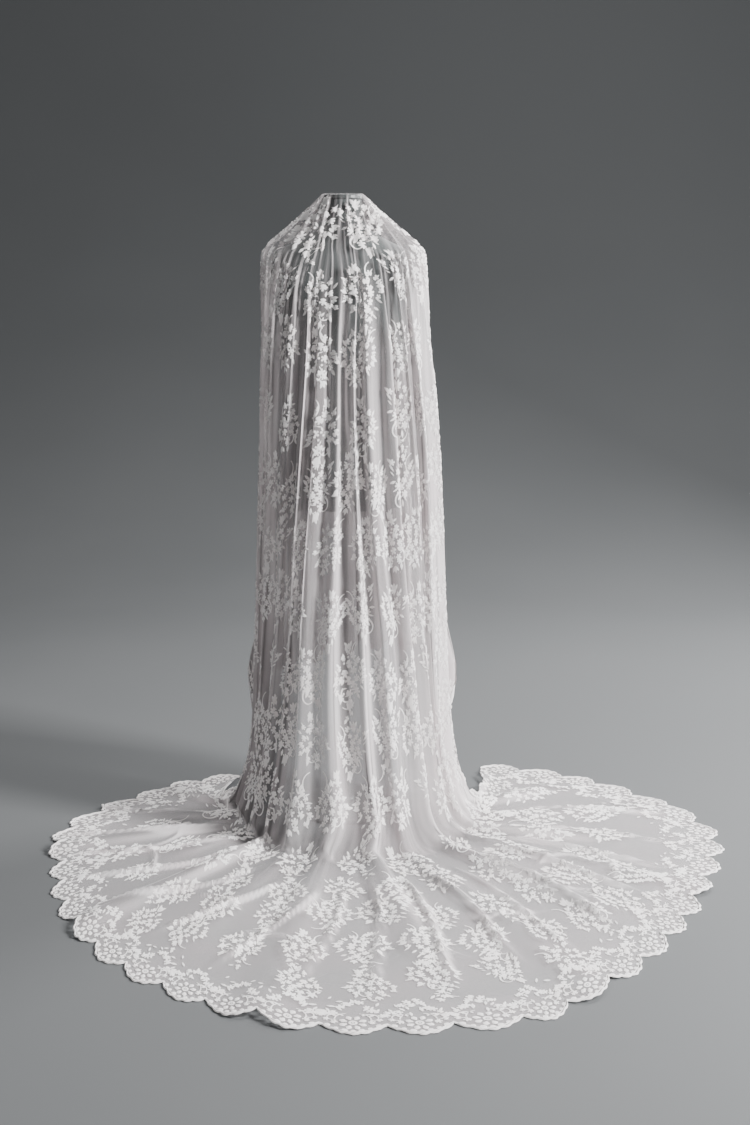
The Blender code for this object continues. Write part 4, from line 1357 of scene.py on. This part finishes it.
def scallop_motif(shapes, seed):
    """What one scallop of the border carries. Y runs from its tip up into the net, less than
    nothing on the way up."""
    chance = np.random.default_rng(seed)
    motif = Motif()
    centre = -0.049
    petals = 8
    for i in range(petals):
        angle = 2 * math.pi * (i + 0.5) / petals
        start = 0.0120
        x, y = start * math.cos(angle), centre + start * math.sin(angle)
        motif.add(shapes["petal"], x, y, 0.0165, angle, stretch=0.78, relief=0.0018)
    motif.add(shapes["ring"], 0.0, centre, 0.0088, relief=0.0022)
    motif.add(shapes["dot"], 0.0, centre, 0.0026, relief=0.0016)
    for i in range(7):
        turn = (i - 3) / 3.0
        x = turn * 0.049
        y = -0.0155 - SCALLOP_DEPTH * abs(turn) ** 1.8 * 0.62
        motif.add(shapes["dot"], x, y, 0.0054 if i % 2 else 0.0068, relief=0.0016)
    for side in (-1.0, 1.0):
        motif.add(
            shapes["curl"], side * 0.020, centre - 0.030, 0.062, -math.pi / 2 + side * 0.95,
            relief=0.0020, flip=side,
        )
        motif.add(
            shapes["wave"], side * 0.034, centre - 0.006, 0.046, -math.pi / 2 + side * 0.25,
            relief=0.0020, flip=-side,
        )
        for x, y, size in ((0.036, -0.052, 0.0078), (0.051, -0.062, 0.0066), (0.058, -0.080, 0.008)):
            motif.add(shapes["small"], side * x, y, size, chance.uniform(0, 6.28))
        for x, y, angle in ((0.028, -0.074, 0.5), (0.044, -0.092, 1.1), (0.020, -0.098, 0.9)):
            direction = -angle if side > 0 else math.pi + angle
            motif.add(shapes["leaf"], side * x, y, 0.017, direction)
    for step in range(12):
        x = -0.055 + 0.010 * step + chance.uniform(-0.003, 0.003)
        y = -0.108 - 0.026 * math.cos(math.pi * x / 0.055) + chance.uniform(-0.010, 0.010)
        motif.add(shapes["small"], x, y, chance.uniform(0.0072, 0.0100), chance.uniform(0, 6.28))
    for _ in range(9):
        x, y = chance.uniform(-0.058, 0.058), chance.uniform(-0.155, -0.090)
        motif.add(shapes["leaf"], x, y, chance.uniform(0.014, 0.021), chance.uniform(0, 6.28))
    return motif.done()


class Embroidery:
    """Many laid motifs, gathered into one mesh."""

    def __init__(self):
        self.points, self.faces, self.flat, self.count = [], [], [], 0

    def lay(self, cloth_map, motif, turn, length, lift, angle=0.0, scale=(1.0, 1.0), flip=1.0):
        points, faces = motif
        c, s = math.cos(angle), math.sin(angle)
        x, y = points[:, 0] * flip, points[:, 1]
        flat = np.stack([(x * c - y * s) * scale[0], (x * s + y * c) * scale[1]], axis=1)
        laid = cloth_map.lay(flat, points[:, 2], turn, length, lift)
        self.put(laid, faces if flip < 0 else [face[::-1] for face in faces], points[:, :2])

    def put(self, laid, faces, flat):
        self.points.append(laid)
        self.faces.extend(tuple(i + self.count for i in face) for face in faces)
        self.flat.append(flat)
        self.count += len(laid)

    def finish(self, name, material, slot="lace_border"):
        mesh = mesh_from(
            name, np.concatenate(self.points), self.faces, np.concatenate(self.flat)
        )
        return add_piece(name, mesh, material)


def cord_rows(offsets, heights):
    return list(zip(offsets, heights))


def lay_cord(embroidery, base, inward, normal, width, height, lift):
    """A round-topped cord along a line of points on the cloth."""
    profile = ((-0.5, 0.0), (-0.3, 0.75), (0.0, 1.0), (0.3, 0.75), (0.5, 0.0))
    rows = [
        base + inward * (share * width) + normal * (lift + rise * height) for share, rise in profile
    ]
    points = np.stack(rows)
    count, columns = points.shape[:2]
    number = np.arange(count * columns).reshape(count, columns)
    a, b = number[:-1, :-1], number[1:, :-1]
    c, d = number[1:, 1:], number[:-1, 1:]
    faces = np.stack([a, b, c, d], axis=-1).reshape(-1, 4).tolist()
    along = np.concatenate([[0.0], np.cumsum(np.linalg.norm(np.diff(base, axis=0), axis=1))])
    flat = np.stack(
        [np.repeat(along[None], count, axis=0), np.repeat(np.arange(count)[:, None], columns, axis=1)],
        axis=-1,
    )
    flat = flat * np.array([1.0, width / count])
    embroidery.put(points.reshape(-1, 3), [tuple(face) for face in faces], flat.reshape(-1, 2))


def edge_cords(embroidery, turn, station, lift, inner=True):
    """Points, inward directions and normals along a line on the cloth, for a corded edge."""
    base = net_surface(turn, station)
    normal = surface_normal(net_surface, turn, station)
    tangent = np.gradient(base, axis=0)
    tangent = tangent / np.linalg.norm(tangent, axis=1, keepdims=True)
    inward = np.cross(tangent, normal)
    if (inward @ np.array([0.0, 0.0, 1.0])).mean() < 0 and base[:, 2].mean() > 0.1:
        inward = -inward
    return base, inward, normal


# Building the stretches


def back_turns():
    return fold_columns(-SEAM_TURN, SEAM_TURN, COLUMNS_PER_FOLD)


def front_turns():
    return fold_columns(SEAM_TURN, 360.0 - SEAM_TURN, FRONT_COLUMNS_PER_FOLD)


def fall_shares():
    """Station shares from the crown to the level of the front's hem, closer at the top."""
    return np.linspace(0.0, 1.0, FALL_ROWS + 1)


def back_rows(turn):
    tier = stations_at(turn, front_length(turn))
    return rows_between(np.zeros(len(turn)), tier, fall_shares())


def train_rows(turn):
    tier = stations_at(turn, front_length(turn))
    contact = np.full(len(turn), float(CONTACT))
    top = stations_at(turn, full_length(turn) - BORDER_WIDTH)
    fall = rows_between(tier, contact, np.linspace(0.0, 1.0, 61))
    floor = rows_between(contact, top, np.linspace(0.0, 1.0, FLOOR_ROWS + 1)[1:])
    return np.concatenate([fall, floor])


class VEIL_OT_net_back(Operator):
    """Net of the back, from the crown over the shoulders to the level of the front's hem"""

    bl_idname = "veil.net_back"
    bl_label = "Back of the veil"

    def execute(self, context):
        turn = back_turns()
        net = shared_material("soft_net", net_material)
        piece = net_grid("net_back", turn, back_rows(turn), net)
        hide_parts("veil_back")
        return {"FINISHED"}


class VEIL_OT_net_front(Operator):
    """Net of the front, from the crown down over the bust to its lace"""

    bl_idname = "veil.net_front"
    bl_label = "Front of the veil"

    def execute(self, context):
        turn = front_turns()
        end = stations_at(turn, front_length(turn) - BORDER_WIDTH)
        stations = rows_between(np.zeros(len(turn)), end, np.linspace(0.0, 1.0, 121))
        net = shared_material("soft_net", net_material)
        piece = net_grid("net_front", turn, stations, net)
        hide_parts("veil_front")
        return {"FINISHED"}


class VEIL_OT_net_train(Operator):
    """Net of the train, down to the floor and out over it to the lace"""

    bl_idname = "veil.net_train"
    bl_label = "Train"

    def execute(self, context):
        turn = fold_columns(-SIDE_BORDER_TURN, SIDE_BORDER_TURN, COLUMNS_PER_FOLD)
        net = shared_material("soft_net", net_material)
        piece = net_grid("net_train", turn, train_rows(turn), net, 1.27)
        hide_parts("veil_train")
        return {"FINISHED"}


def hem_border(name, turn, coarse, length, node, rows=15):
    """The net ground of a scalloped hem border."""
    fine = halved(turn)
    phase = hem_phases(fine, coarse, length)
    top = length(fine) - BORDER_WIDTH
    edge = length(fine) - scallop_cut(phase) - scallop_bumps(phase)
    lengths = [top + (edge - top) * share for share in np.linspace(0.0, 1.0, rows)]
    stations = np.stack([stations_at(fine, row) for row in lengths])
    ground = shared_material("lace_ground", net_material, 1.15)
    piece = net_grid(name, fine, stations, ground, 2.0)
    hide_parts(node)
    return fine, phase, stations[-1]


def side_edge(side):
    """Stations and turns of a free side edge and its lace, as the solid has them."""
    ends = side * np.array([SIDE_BORDER_TURN, SEAM_TURN])
    columns = side * fold_columns(SIDE_BORDER_TURN, SEAM_TURN, COLUMNS_PER_FOLD)
    across = (columns - ends[0]) / (ends[1] - ends[0])
    top = stations_at(columns, front_length(columns))
    bottom = stations_at(columns, full_length(columns) - BORDER_WIDTH)
    outer = ends[[1, 1, 1]]
    run = lengths_at(outer, np.array([top[-1], CONTACT, bottom[-1]]))
    scallops = round((run[2] - run[0]) / SCALLOP_WIDTH)
    steps = scallops * 30
    fall = round(steps * (run[1] - run[0]) / (run[2] - run[0]))
    contact = np.full(len(columns), float(CONTACT))
    stations = np.concatenate([
        rows_between(top, contact, np.linspace(0.0, 1.0, fall + 1)),
        rows_between(contact, bottom, np.linspace(0.0, 1.0, steps - fall + 1)[1:]),
    ])
    phase = np.linspace(0.5, scallops + 0.5, steps + 1)
    cut = (scallop_cut(phase) + scallop_bumps(phase)) * SIDE_SCALLOP_SHARE
    edge = ends[1] - side * cut * (SEAM_TURN - SIDE_BORDER_TURN) / BORDER_WIDTH
    turn = ends[0] + (edge - ends[0])[:, None] * across[None, :]
    return turn, stations, phase


class VEIL_OT_lace_grounds(Operator):
    """Net grounds of the scalloped lace border: train, both free edges and front"""

    bl_idname = "veil.lace_grounds"
    bl_label = "Lace grounds"

    def execute(self, context):
        turn = back_turns()
        coarse = halved(fold_columns(-SEAM_TURN, SEAM_TURN, 6))
        hem_border("lace_train", turn, coarse, full_length, "border_train")
        coarse = fold_columns(SEAM_TURN, 360.0 - SEAM_TURN, 5)
        hem_border("lace_front", front_turns(), coarse, front_length, "border_front", 21)
        ground = shared_material("lace_ground", net_material, 1.15)
        for word, side in (("left", -1), ("right", 1)):
            turns, stations, _ = side_edge(side)
            order = slice(None, None, side)
            piece = net_grid(
                f"lace_side_{word}", turns[:, order], stations[:, order], ground, 1.3
            )
            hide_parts(f"border_side_{word}")
        return {"FINISHED"}


def back_map():
    turn = back_turns()
    tier = stations_at(turn, front_length(turn))
    contact = np.full(len(turn), float(CONTACT))
    hem = np.full(len(turn), float(HEM))
    stations = np.concatenate([
        rows_between(np.full(len(turn), 0.3), tier, np.linspace(0.0, 1.0, 241)),
        rows_between(tier, contact, np.linspace(0.0, 1.0, 81)[1:]),
        rows_between(contact, hem, np.linspace(0.0, 1.0, 150)[1:]),
    ])
    return ClothMap(turn, stations, gather_gain)


def front_map():
    turn = front_turns()
    end = front_hem_stations(turn)
    stations = rows_between(np.full(len(turn), 0.3), end, np.linspace(0.0, 1.0, 261))
    return ClothMap(turn, stations, gather_gain)


def spray_places(cloth_map, first, last, spacing, margins, seed, stop):
    """Staggered rows of places for sprays: a turn and a length for each."""
    chance = np.random.default_rng(seed)
    places = []
    row = 0
    length = first
    while length < last:
        middle = len(cloth_map.turn) // 2
        line = cloth_map.row_of(middle, length)
        low = int(line)
        across = cloth_map.grown[low]
        start, end = margins
        usable = across[-1] * (1.0 - start - end)
        count = max(2, round(usable / (spacing * (1.14 if length < 0.66 else 0.90))))
        shift = 0.5 if row % 2 else 0.0
        for i in range(count + (0 if row % 2 else 1)):
            share = (i + shift) / count + chance.uniform(-0.10, 0.10) / count
            goal = across[-1] * start + usable * np.clip(share, 0.01, 0.99)
            turn = np.interp(goal, across, cloth_map.turn)
            here = length + chance.uniform(-0.020, 0.020)
            if here < stop(turn):
                places.append((float(turn), float(here)))
        length += spacing
        row += 1
    return places


def between_places(places, cloth_map, share, seed):
    """Places for small sprigs, half a row on from a share of the sprays."""
    chance = np.random.default_rng(seed)
    spacing = bpy.context.scene.veil_embroidery.spacing
    out = []
    for turn, length in places:
        if chance.random() < share:
            here = length + spacing * chance.uniform(0.42, 0.55)
            low = int(cloth_map.row_of(len(cloth_map.turn) // 2, here))
            across = cloth_map.grown[min(low, len(cloth_map.grown) - 1)]
            goal = np.interp(turn, cloth_map.turn, across) + chance.uniform(-0.022, 0.022)
            out.append((float(np.interp(goal, across, cloth_map.turn)), float(here)))
    return out


def lay_sprays(name, cloth_map, places, motifs, sprigs, sprig_share, stop, seed, broad=0.0):
    """Sprays and sprigs on the net. broad widens those high on the fall, where it is stretched."""
    chance = np.random.default_rng(seed)
    lift = bpy.context.scene.veil_embroidery.lift
    thread = shared_material("embroidery", thread_material, 5200.0, 0.5)
    embroidery = Embroidery()
    for turn, length in places:
        motif = motifs[int(chance.integers(len(motifs)))]
        size = chance.uniform(0.86, 1.02)
        wide = 1.0 + broad * (0.4 + 0.6 * smooth_step((0.95 - length) / 0.4))
        embroidery.lay(
            cloth_map, motif, turn, length, lift, chance.uniform(-0.3, 0.3), (size * wide, size),
            flip=float(chance.choice((-1.0, 1.0))),
        )
    for turn, length in between_places(places, cloth_map, sprig_share, seed + 50):
        if length < stop(turn) + 0.05:
            sprig = sprigs[int(chance.integers(len(sprigs)))]
            embroidery.lay(
                cloth_map, sprig, turn, length, lift, chance.uniform(-0.9, 0.9), (1.0, 1.0),
                flip=float(chance.choice((-1.0, 1.0))),
            )
    return embroidery.finish(name, thread)


class VEIL_OT_sprays(Operator):
    """Embroidered sprays of small flowers over the net of the back, the train and the front"""

    bl_idname = "veil.sprays"
    bl_label = "Embroidered sprays"

    def execute(self, context):
        settings = context.scene.veil_embroidery
        shapes = make_shapes()
        motifs = [
            spray_motif(shapes, 3 + 5 * i, reach) for i, reach in enumerate(SPRAY_OUTLINES)
        ]
        sprigs = [sprig_motif(shapes, seed) for seed in (41, 42, 43)]
        cloth_map = back_map()
        turn = cloth_map.turn
        inner_edge = full_length(turn) - BORDER_WIDTH - 0.03

        def stop(at):
            return np.interp(at, turn, inner_edge)

        ground = lengths_at(np.array([0.0]), np.array([float(CONTACT)]))[0]
        first = 0.15
        next_row = first + settings.spacing * math.ceil((ground - first) / settings.spacing)
        places = spray_places(cloth_map, first, ground, settings.spacing, (0.02, 0.02), 5, stop)
        lay_sprays("sprays_back", cloth_map, places, motifs, sprigs, 0.12, stop, 6, 0.36)
        places = spray_places(
            cloth_map, next_row, ground + 1.0, settings.spacing * 0.98, (0.03, 0.03), 9, stop
        )
        lay_sprays("sprays_train", cloth_map, places, motifs, sprigs, 0.6, stop, 10)
        front = front_map()
        hem = front_length(front.turn) - BORDER_WIDTH - 0.04

        def front_stop(at):
            return np.interp(at, front.turn, hem)

        places = spray_places(front, 0.13, 1.3, settings.spacing, (0.02, 0.02), 12, front_stop)
        lay_sprays("sprays_front", front, places, motifs, sprigs, 0.2, front_stop, 13, 0.3)
        return {"FINISHED"}


def lay_hem_lace(name, cloth_map, turn, coarse, length, motifs, seed):
    """The flowers, scrolls and dots of each scallop and the corded edge."""
    settings = bpy.context.scene.veil_embroidery
    fine = halved(turn)
    phase = hem_phases(fine, coarse, length)
    full = length(fine)
    edge = full - scallop_cut(phase) - scallop_bumps(phase)
    station = stations_at(fine, edge)
    embroidery = Embroidery()
    chance = np.random.default_rng(seed)
    hem = net_surface(fine, stations_at(fine, full))
    along = np.concatenate([[0.0], np.cumsum(np.linalg.norm(np.diff(hem, axis=0), axis=1))])
    for number in range(int(round(phase[-1]))):
        centre = float(np.interp(number + 0.5, phase, fine))
        width = np.interp(number + 1, phase, along) - np.interp(number, phase, along)
        reach = float(np.interp(centre, fine, full))
        motif = motifs[int(chance.integers(len(motifs)))]
        embroidery.lay(
            cloth_map, motif, centre, reach, settings.lift, 0.0, (width / SCALLOP_WIDTH, 1.0),
            flip=float(chance.choice((-1.0, 1.0))),
        )
    base = net_surface(fine, station)
    normal = surface_normal(net_surface, fine, station)
    inner = net_surface(fine, stations_at(fine, edge - 0.006))
    inward = inner - base
    inward = inward / np.linalg.norm(inward, axis=1, keepdims=True)
    lay_cord(embroidery, base + inward * 0.0030, inward, normal, 0.0068, 0.0028, settings.lift)
    smooth_edge = full - scallop_cut(phase) - 0.0115
    line = net_surface(fine, stations_at(fine, smooth_edge))
    normal = surface_normal(net_surface, fine, stations_at(fine, smooth_edge))
    lay_cord(embroidery, line, inward, normal, 0.0026, 0.0014, settings.lift)
    thread = shared_material("lace_cord", thread_material, 3600.0, 0.6)
    return embroidery.finish(name, thread)


def lay_side_lace(name, cloth_map, side, motifs, seed):
    settings = bpy.context.scene.veil_embroidery
    turns, stations, phase = side_edge(side)
    outer, station = turns[:, -1], stations[:, -1]
    embroidery = Embroidery()
    base = net_surface(outer, station)
    normal = surface_normal(net_surface, outer, station)
    inside = net_surface(outer - side * 0.6, station)
    inward = inside - base
    inward = inward / np.linalg.norm(inward, axis=1, keepdims=True)
    lay_cord(embroidery, base + inward * 0.0030, inward, normal, 0.0068, 0.0028, settings.lift)
    chance = np.random.default_rng(seed)
    tip = side * SEAM_TURN
    lengths = lengths_at(np.full(len(station), tip), station)
    for number in range(1, int(round(phase[-1] - 0.5)) + 1):
        here = float(np.interp(number, phase, lengths)) + 0.0
        motif = motifs[int(chance.integers(len(motifs)))]
        embroidery.lay(
            cloth_map, motif, tip, here, settings.lift, -side * math.pi / 2, (1.0, 1.0),
            flip=float(chance.choice((-1.0, 1.0))),
        )
    thread = shared_material("lace_cord", thread_material, 3600.0, 0.6)
    return embroidery.finish(name, thread)


class VEIL_OT_lace(Operator):
    """Flowers, scrolls, dots and corded edge of the lace border"""

    bl_idname = "veil.lace"
    bl_label = "Border lace"

    def execute(self, context):
        shapes = make_shapes()
        motifs = [scallop_motif(shapes, seed) for seed in (2, 5, 11)]
        cloth_map = back_map()
        coarse = halved(fold_columns(-SEAM_TURN, SEAM_TURN, 6))
        lay_hem_lace(
            "lace_flowers_train", cloth_map, back_turns(), coarse, full_length, motifs, 4
        )
        for word, side in (("left", -1), ("right", 1)):
            lay_side_lace(f"lace_flowers_side_{word}", cloth_map, side, motifs, 7 + side)
        coarse = fold_columns(SEAM_TURN, 360.0 - SEAM_TURN, 5)
        lay_hem_lace(
            "lace_flowers_front", front_map(), front_turns(), coarse, front_length, motifs, 9
        )
        return {"FINISHED"}


class VEIL_OT_cut_sizes(Operator):
    """Does nothing: the flat cut of the cloth and what lies on it are not stated"""

    bl_idname = "veil.cut_sizes"
    bl_label = "Cut sizes"

    def execute(self, context):
        return {"FINISHED"}


FORM_SEAM_TURNS = (0.0, 38.0, 90.0, 142.0, 180.0, 218.0, 270.0, 322.0)


def form_radius(turn, row):
    """The form's outline at a turn and at a row of its table."""
    rows = np.arange(len(FORM_ROWS), dtype=float)
    values = [read_curve(row, rows, np.array(column)) for column in zip(*FORM_ROWS)]
    height, half_width, back, front, square = values
    return height, oval_radius(turn, half_width, half_width, back, front, square)


class VEIL_OT_form(Operator):
    """The limbless dress form: its covered body, neck cap, pole and foot"""

    bl_idname = "veil.form"
    bl_label = "Dress form"

    def execute(self, context):
        settings = context.scene.veil_form
        sides, levels = 144, 150
        turn = np.arange(sides) * 360.0 / sides
        rows = np.linspace(0.0, len(FORM_ROWS) - 1.0, levels)
        grid_turn, grid_row = np.meshgrid(turn, rows)
        height, radius = form_radius(grid_turn, grid_row)
        for seam in FORM_SEAM_TURNS:
            distance = signed_turn(grid_turn - seam) * math.pi / 180 * radius
            radius = radius - 0.0010 * np.exp(-((distance / 0.0022) ** 2))
        for level in (0.832, 1.545):
            radius = radius + 0.0007 * np.exp(-(((height - level) / 0.003) ** 2))
        x, y = plan_point(grid_turn, radius)
        points = np.stack([x, y, height], axis=-1)
        number = np.arange(levels * sides).reshape(levels, sides)
        after = np.roll(number, -1, axis=1)
        quads = np.stack([number[:-1], after[:-1], after[1:], number[1:]], axis=-1)
        faces = [tuple(face) for face in quads.reshape(-1, 4).tolist()]
        faces.append(tuple(number[0].tolist()[::-1]))
        faces.append(tuple(number[-1].tolist()))
        flat = np.stack([grid_turn * radius * math.pi / 180, height], axis=-1).reshape(-1, 2)
        mesh = mesh_from("form_body", points.reshape(-1, 3), faces, flat)
        mesh.shade_smooth()
        mesh.set_sharp_from_angle(angle=math.radians(50))
        cover = knit_material("form_knit_cover", settings.cover_colour)
        piece = add_piece("form_body", mesh, cover, smooth=False)
        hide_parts("form_torso")
        stand = paint_material("stand_paint", settings.stand_colour, 0.38)
        cap = paint_material("cap_paint", settings.cap_colour, 0.45)
        for name, paint in (("form_neck_cap", cap), ("form_pole", stand), ("form_foot", stand)):
            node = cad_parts[name]
            node.data.materials.clear()
            node.data.materials.append(paint)
        return {"FINISHED"}


CAMERA_PLACE = (0.08, -4.0, 1.4)
CAMERA_DOWN = 10.45
LIGHTS = (
    ("key_right", (3.3, -1.5, 2.3), (0.8, 1.4), 560.0),
    ("rim_right", (2.4, 2.0, 2.4), (1.0, 2.0), 210.0),
    ("fill_left", (-2.6, -3.2, 1.8), (2.2, 2.2), 26.0),
    ("top_back", (-0.6, 1.6, 3.6), (2.2, 1.4), 95.0),
    ("wall_wash", (2.6, 1.6, 3.4), (2.6, 1.6), 80.0),
)
LIGHT_AIMS = {"wall_wash": (1.6, 6.0, 2.4)}


class VEIL_OT_stage(Operator):
    """Plain floor and wall, soft studio lights and the camera"""

    bl_idname = "veil.stage"
    bl_label = "Stage"

    def execute(self, context):
        settings = context.scene.veil_stage
        start_shape()
        bpy.ops.mesh.primitive_plane_add(size=1.0)
        floor = context.object
        floor.name = "studio_floor"
        bpy.ops.object.mode_set(mode="EDIT")
        bpy.ops.mesh.select_all(action="SELECT")
        bpy.ops.transform.resize(value=(16.0, 12.0, 1.0), center_override=(0, 0, 0))
        bpy.ops.transform.translate(value=(0.0, -1.0, 0.0))
        select_points(floor, lambda p: p.co.y > 1.0)
        bpy.ops.transform.translate(value=(0.0, -2.6, 0.0))
        for step in range(24):
            angle = math.radians(90.0 * (step + 0.5) / 24)
            bpy.ops.mesh.extrude_region_move(
                TRANSFORM_OT_translate={
                    "value": (0.0, 0.26 * math.cos(angle), 0.26 * math.sin(angle))
                }
            )
        bpy.ops.mesh.extrude_region_move(TRANSFORM_OT_translate={"value": (0.0, 0.0, 4.0)})
        bpy.ops.object.mode_set(mode="OBJECT")
        floor.data.shade_smooth()
        floor.data.materials.append(paint_material("studio_paint", settings.floor_colour, 0.85, 0.7, 0.97))
        for name, place, size, power in LIGHTS:
            lamp = bpy.data.lights.new(name, "AREA")
            lamp.shape = "RECTANGLE"
            lamp.size, lamp.size_y = size
            lamp.energy = power * settings.light
            holder = bpy.data.objects.new(name, lamp)
            holder.location = place
            aim = Vector(LIGHT_AIMS.get(name, (0.0, -0.3, 0.7))) - Vector(place)
            holder.rotation_euler = aim.to_track_quat("-Z", "Y").to_euler()
            context.scene.collection.objects.link(holder)
        world = bpy.data.worlds.new("studio_air")
        world.use_nodes = True
        world.node_tree.nodes["Background"].inputs["Color"].default_value = (0.9, 0.93, 0.96, 1.0)
        world.node_tree.nodes["Background"].inputs["Strength"].default_value = 0.13
        context.scene.world = world
        lens = bpy.data.cameras.new("camera")
        lens.lens = 50.0
        lens.sensor_width = 36.0
        camera = bpy.data.objects.new("camera", lens)
        camera.location = CAMERA_PLACE
        camera.rotation_euler = (math.radians(90.0 - CAMERA_DOWN), 0.0, 0.0)
        context.scene.collection.objects.link(camera)
        context.scene.camera = camera
        return {"FINISHED"}


class VEIL_PT_panel(Panel):
    bl_idname = "VEIL_PT_panel"
    bl_label = "Bridal veil"
    bl_space_type = "VIEW_3D"
    bl_region_type = "UI"
    bl_category = "Veil"

    def draw(self, context):
        layout = self.layout
        for group in ("veil_net", "veil_embroidery", "veil_form", "veil_stage"):
            box = layout.box()
            settings = getattr(context.scene, group)
            for name in settings.bl_rna.properties.keys():
                if name not in ("rna_type", "name"):
                    box.prop(settings, name)
        for operator in OPERATORS:
            layout.operator(operator.bl_idname)


OPERATORS = (
    VEIL_OT_form,
    VEIL_OT_net_back,
    VEIL_OT_net_front,
    VEIL_OT_net_train,
    VEIL_OT_lace_grounds,
    VEIL_OT_sprays,
    VEIL_OT_lace,
    VEIL_OT_cut_sizes,
    VEIL_OT_stage,
)
SETTINGS = (
    ("veil_net", VeilSettings),
    ("veil_embroidery", EmbroiderySettings),
    ("veil_form", FormSettings),
    ("veil_stage", StageSettings),
)


def register():
    for name, group in SETTINGS:
        bpy.utils.register_class(group)
        setattr(bpy.types.Scene, name, PointerProperty(type=group))
    for item in (*OPERATORS, VEIL_PT_panel):
        bpy.utils.register_class(item)


def unregister():
    for item in (VEIL_PT_panel, *reversed(OPERATORS)):
        bpy.utils.unregister_class(item)
    for name, group in reversed(SETTINGS):
        delattr(bpy.types.Scene, name)
        bpy.utils.unregister_class(group)


def main():
    register()
    for operator in OPERATORS:
        category, name = operator.bl_idname.split(".")
        getattr(getattr(bpy.ops, category), name)()
    bpy.context.view_layer.update()


if __name__ == "__main__":
    main()
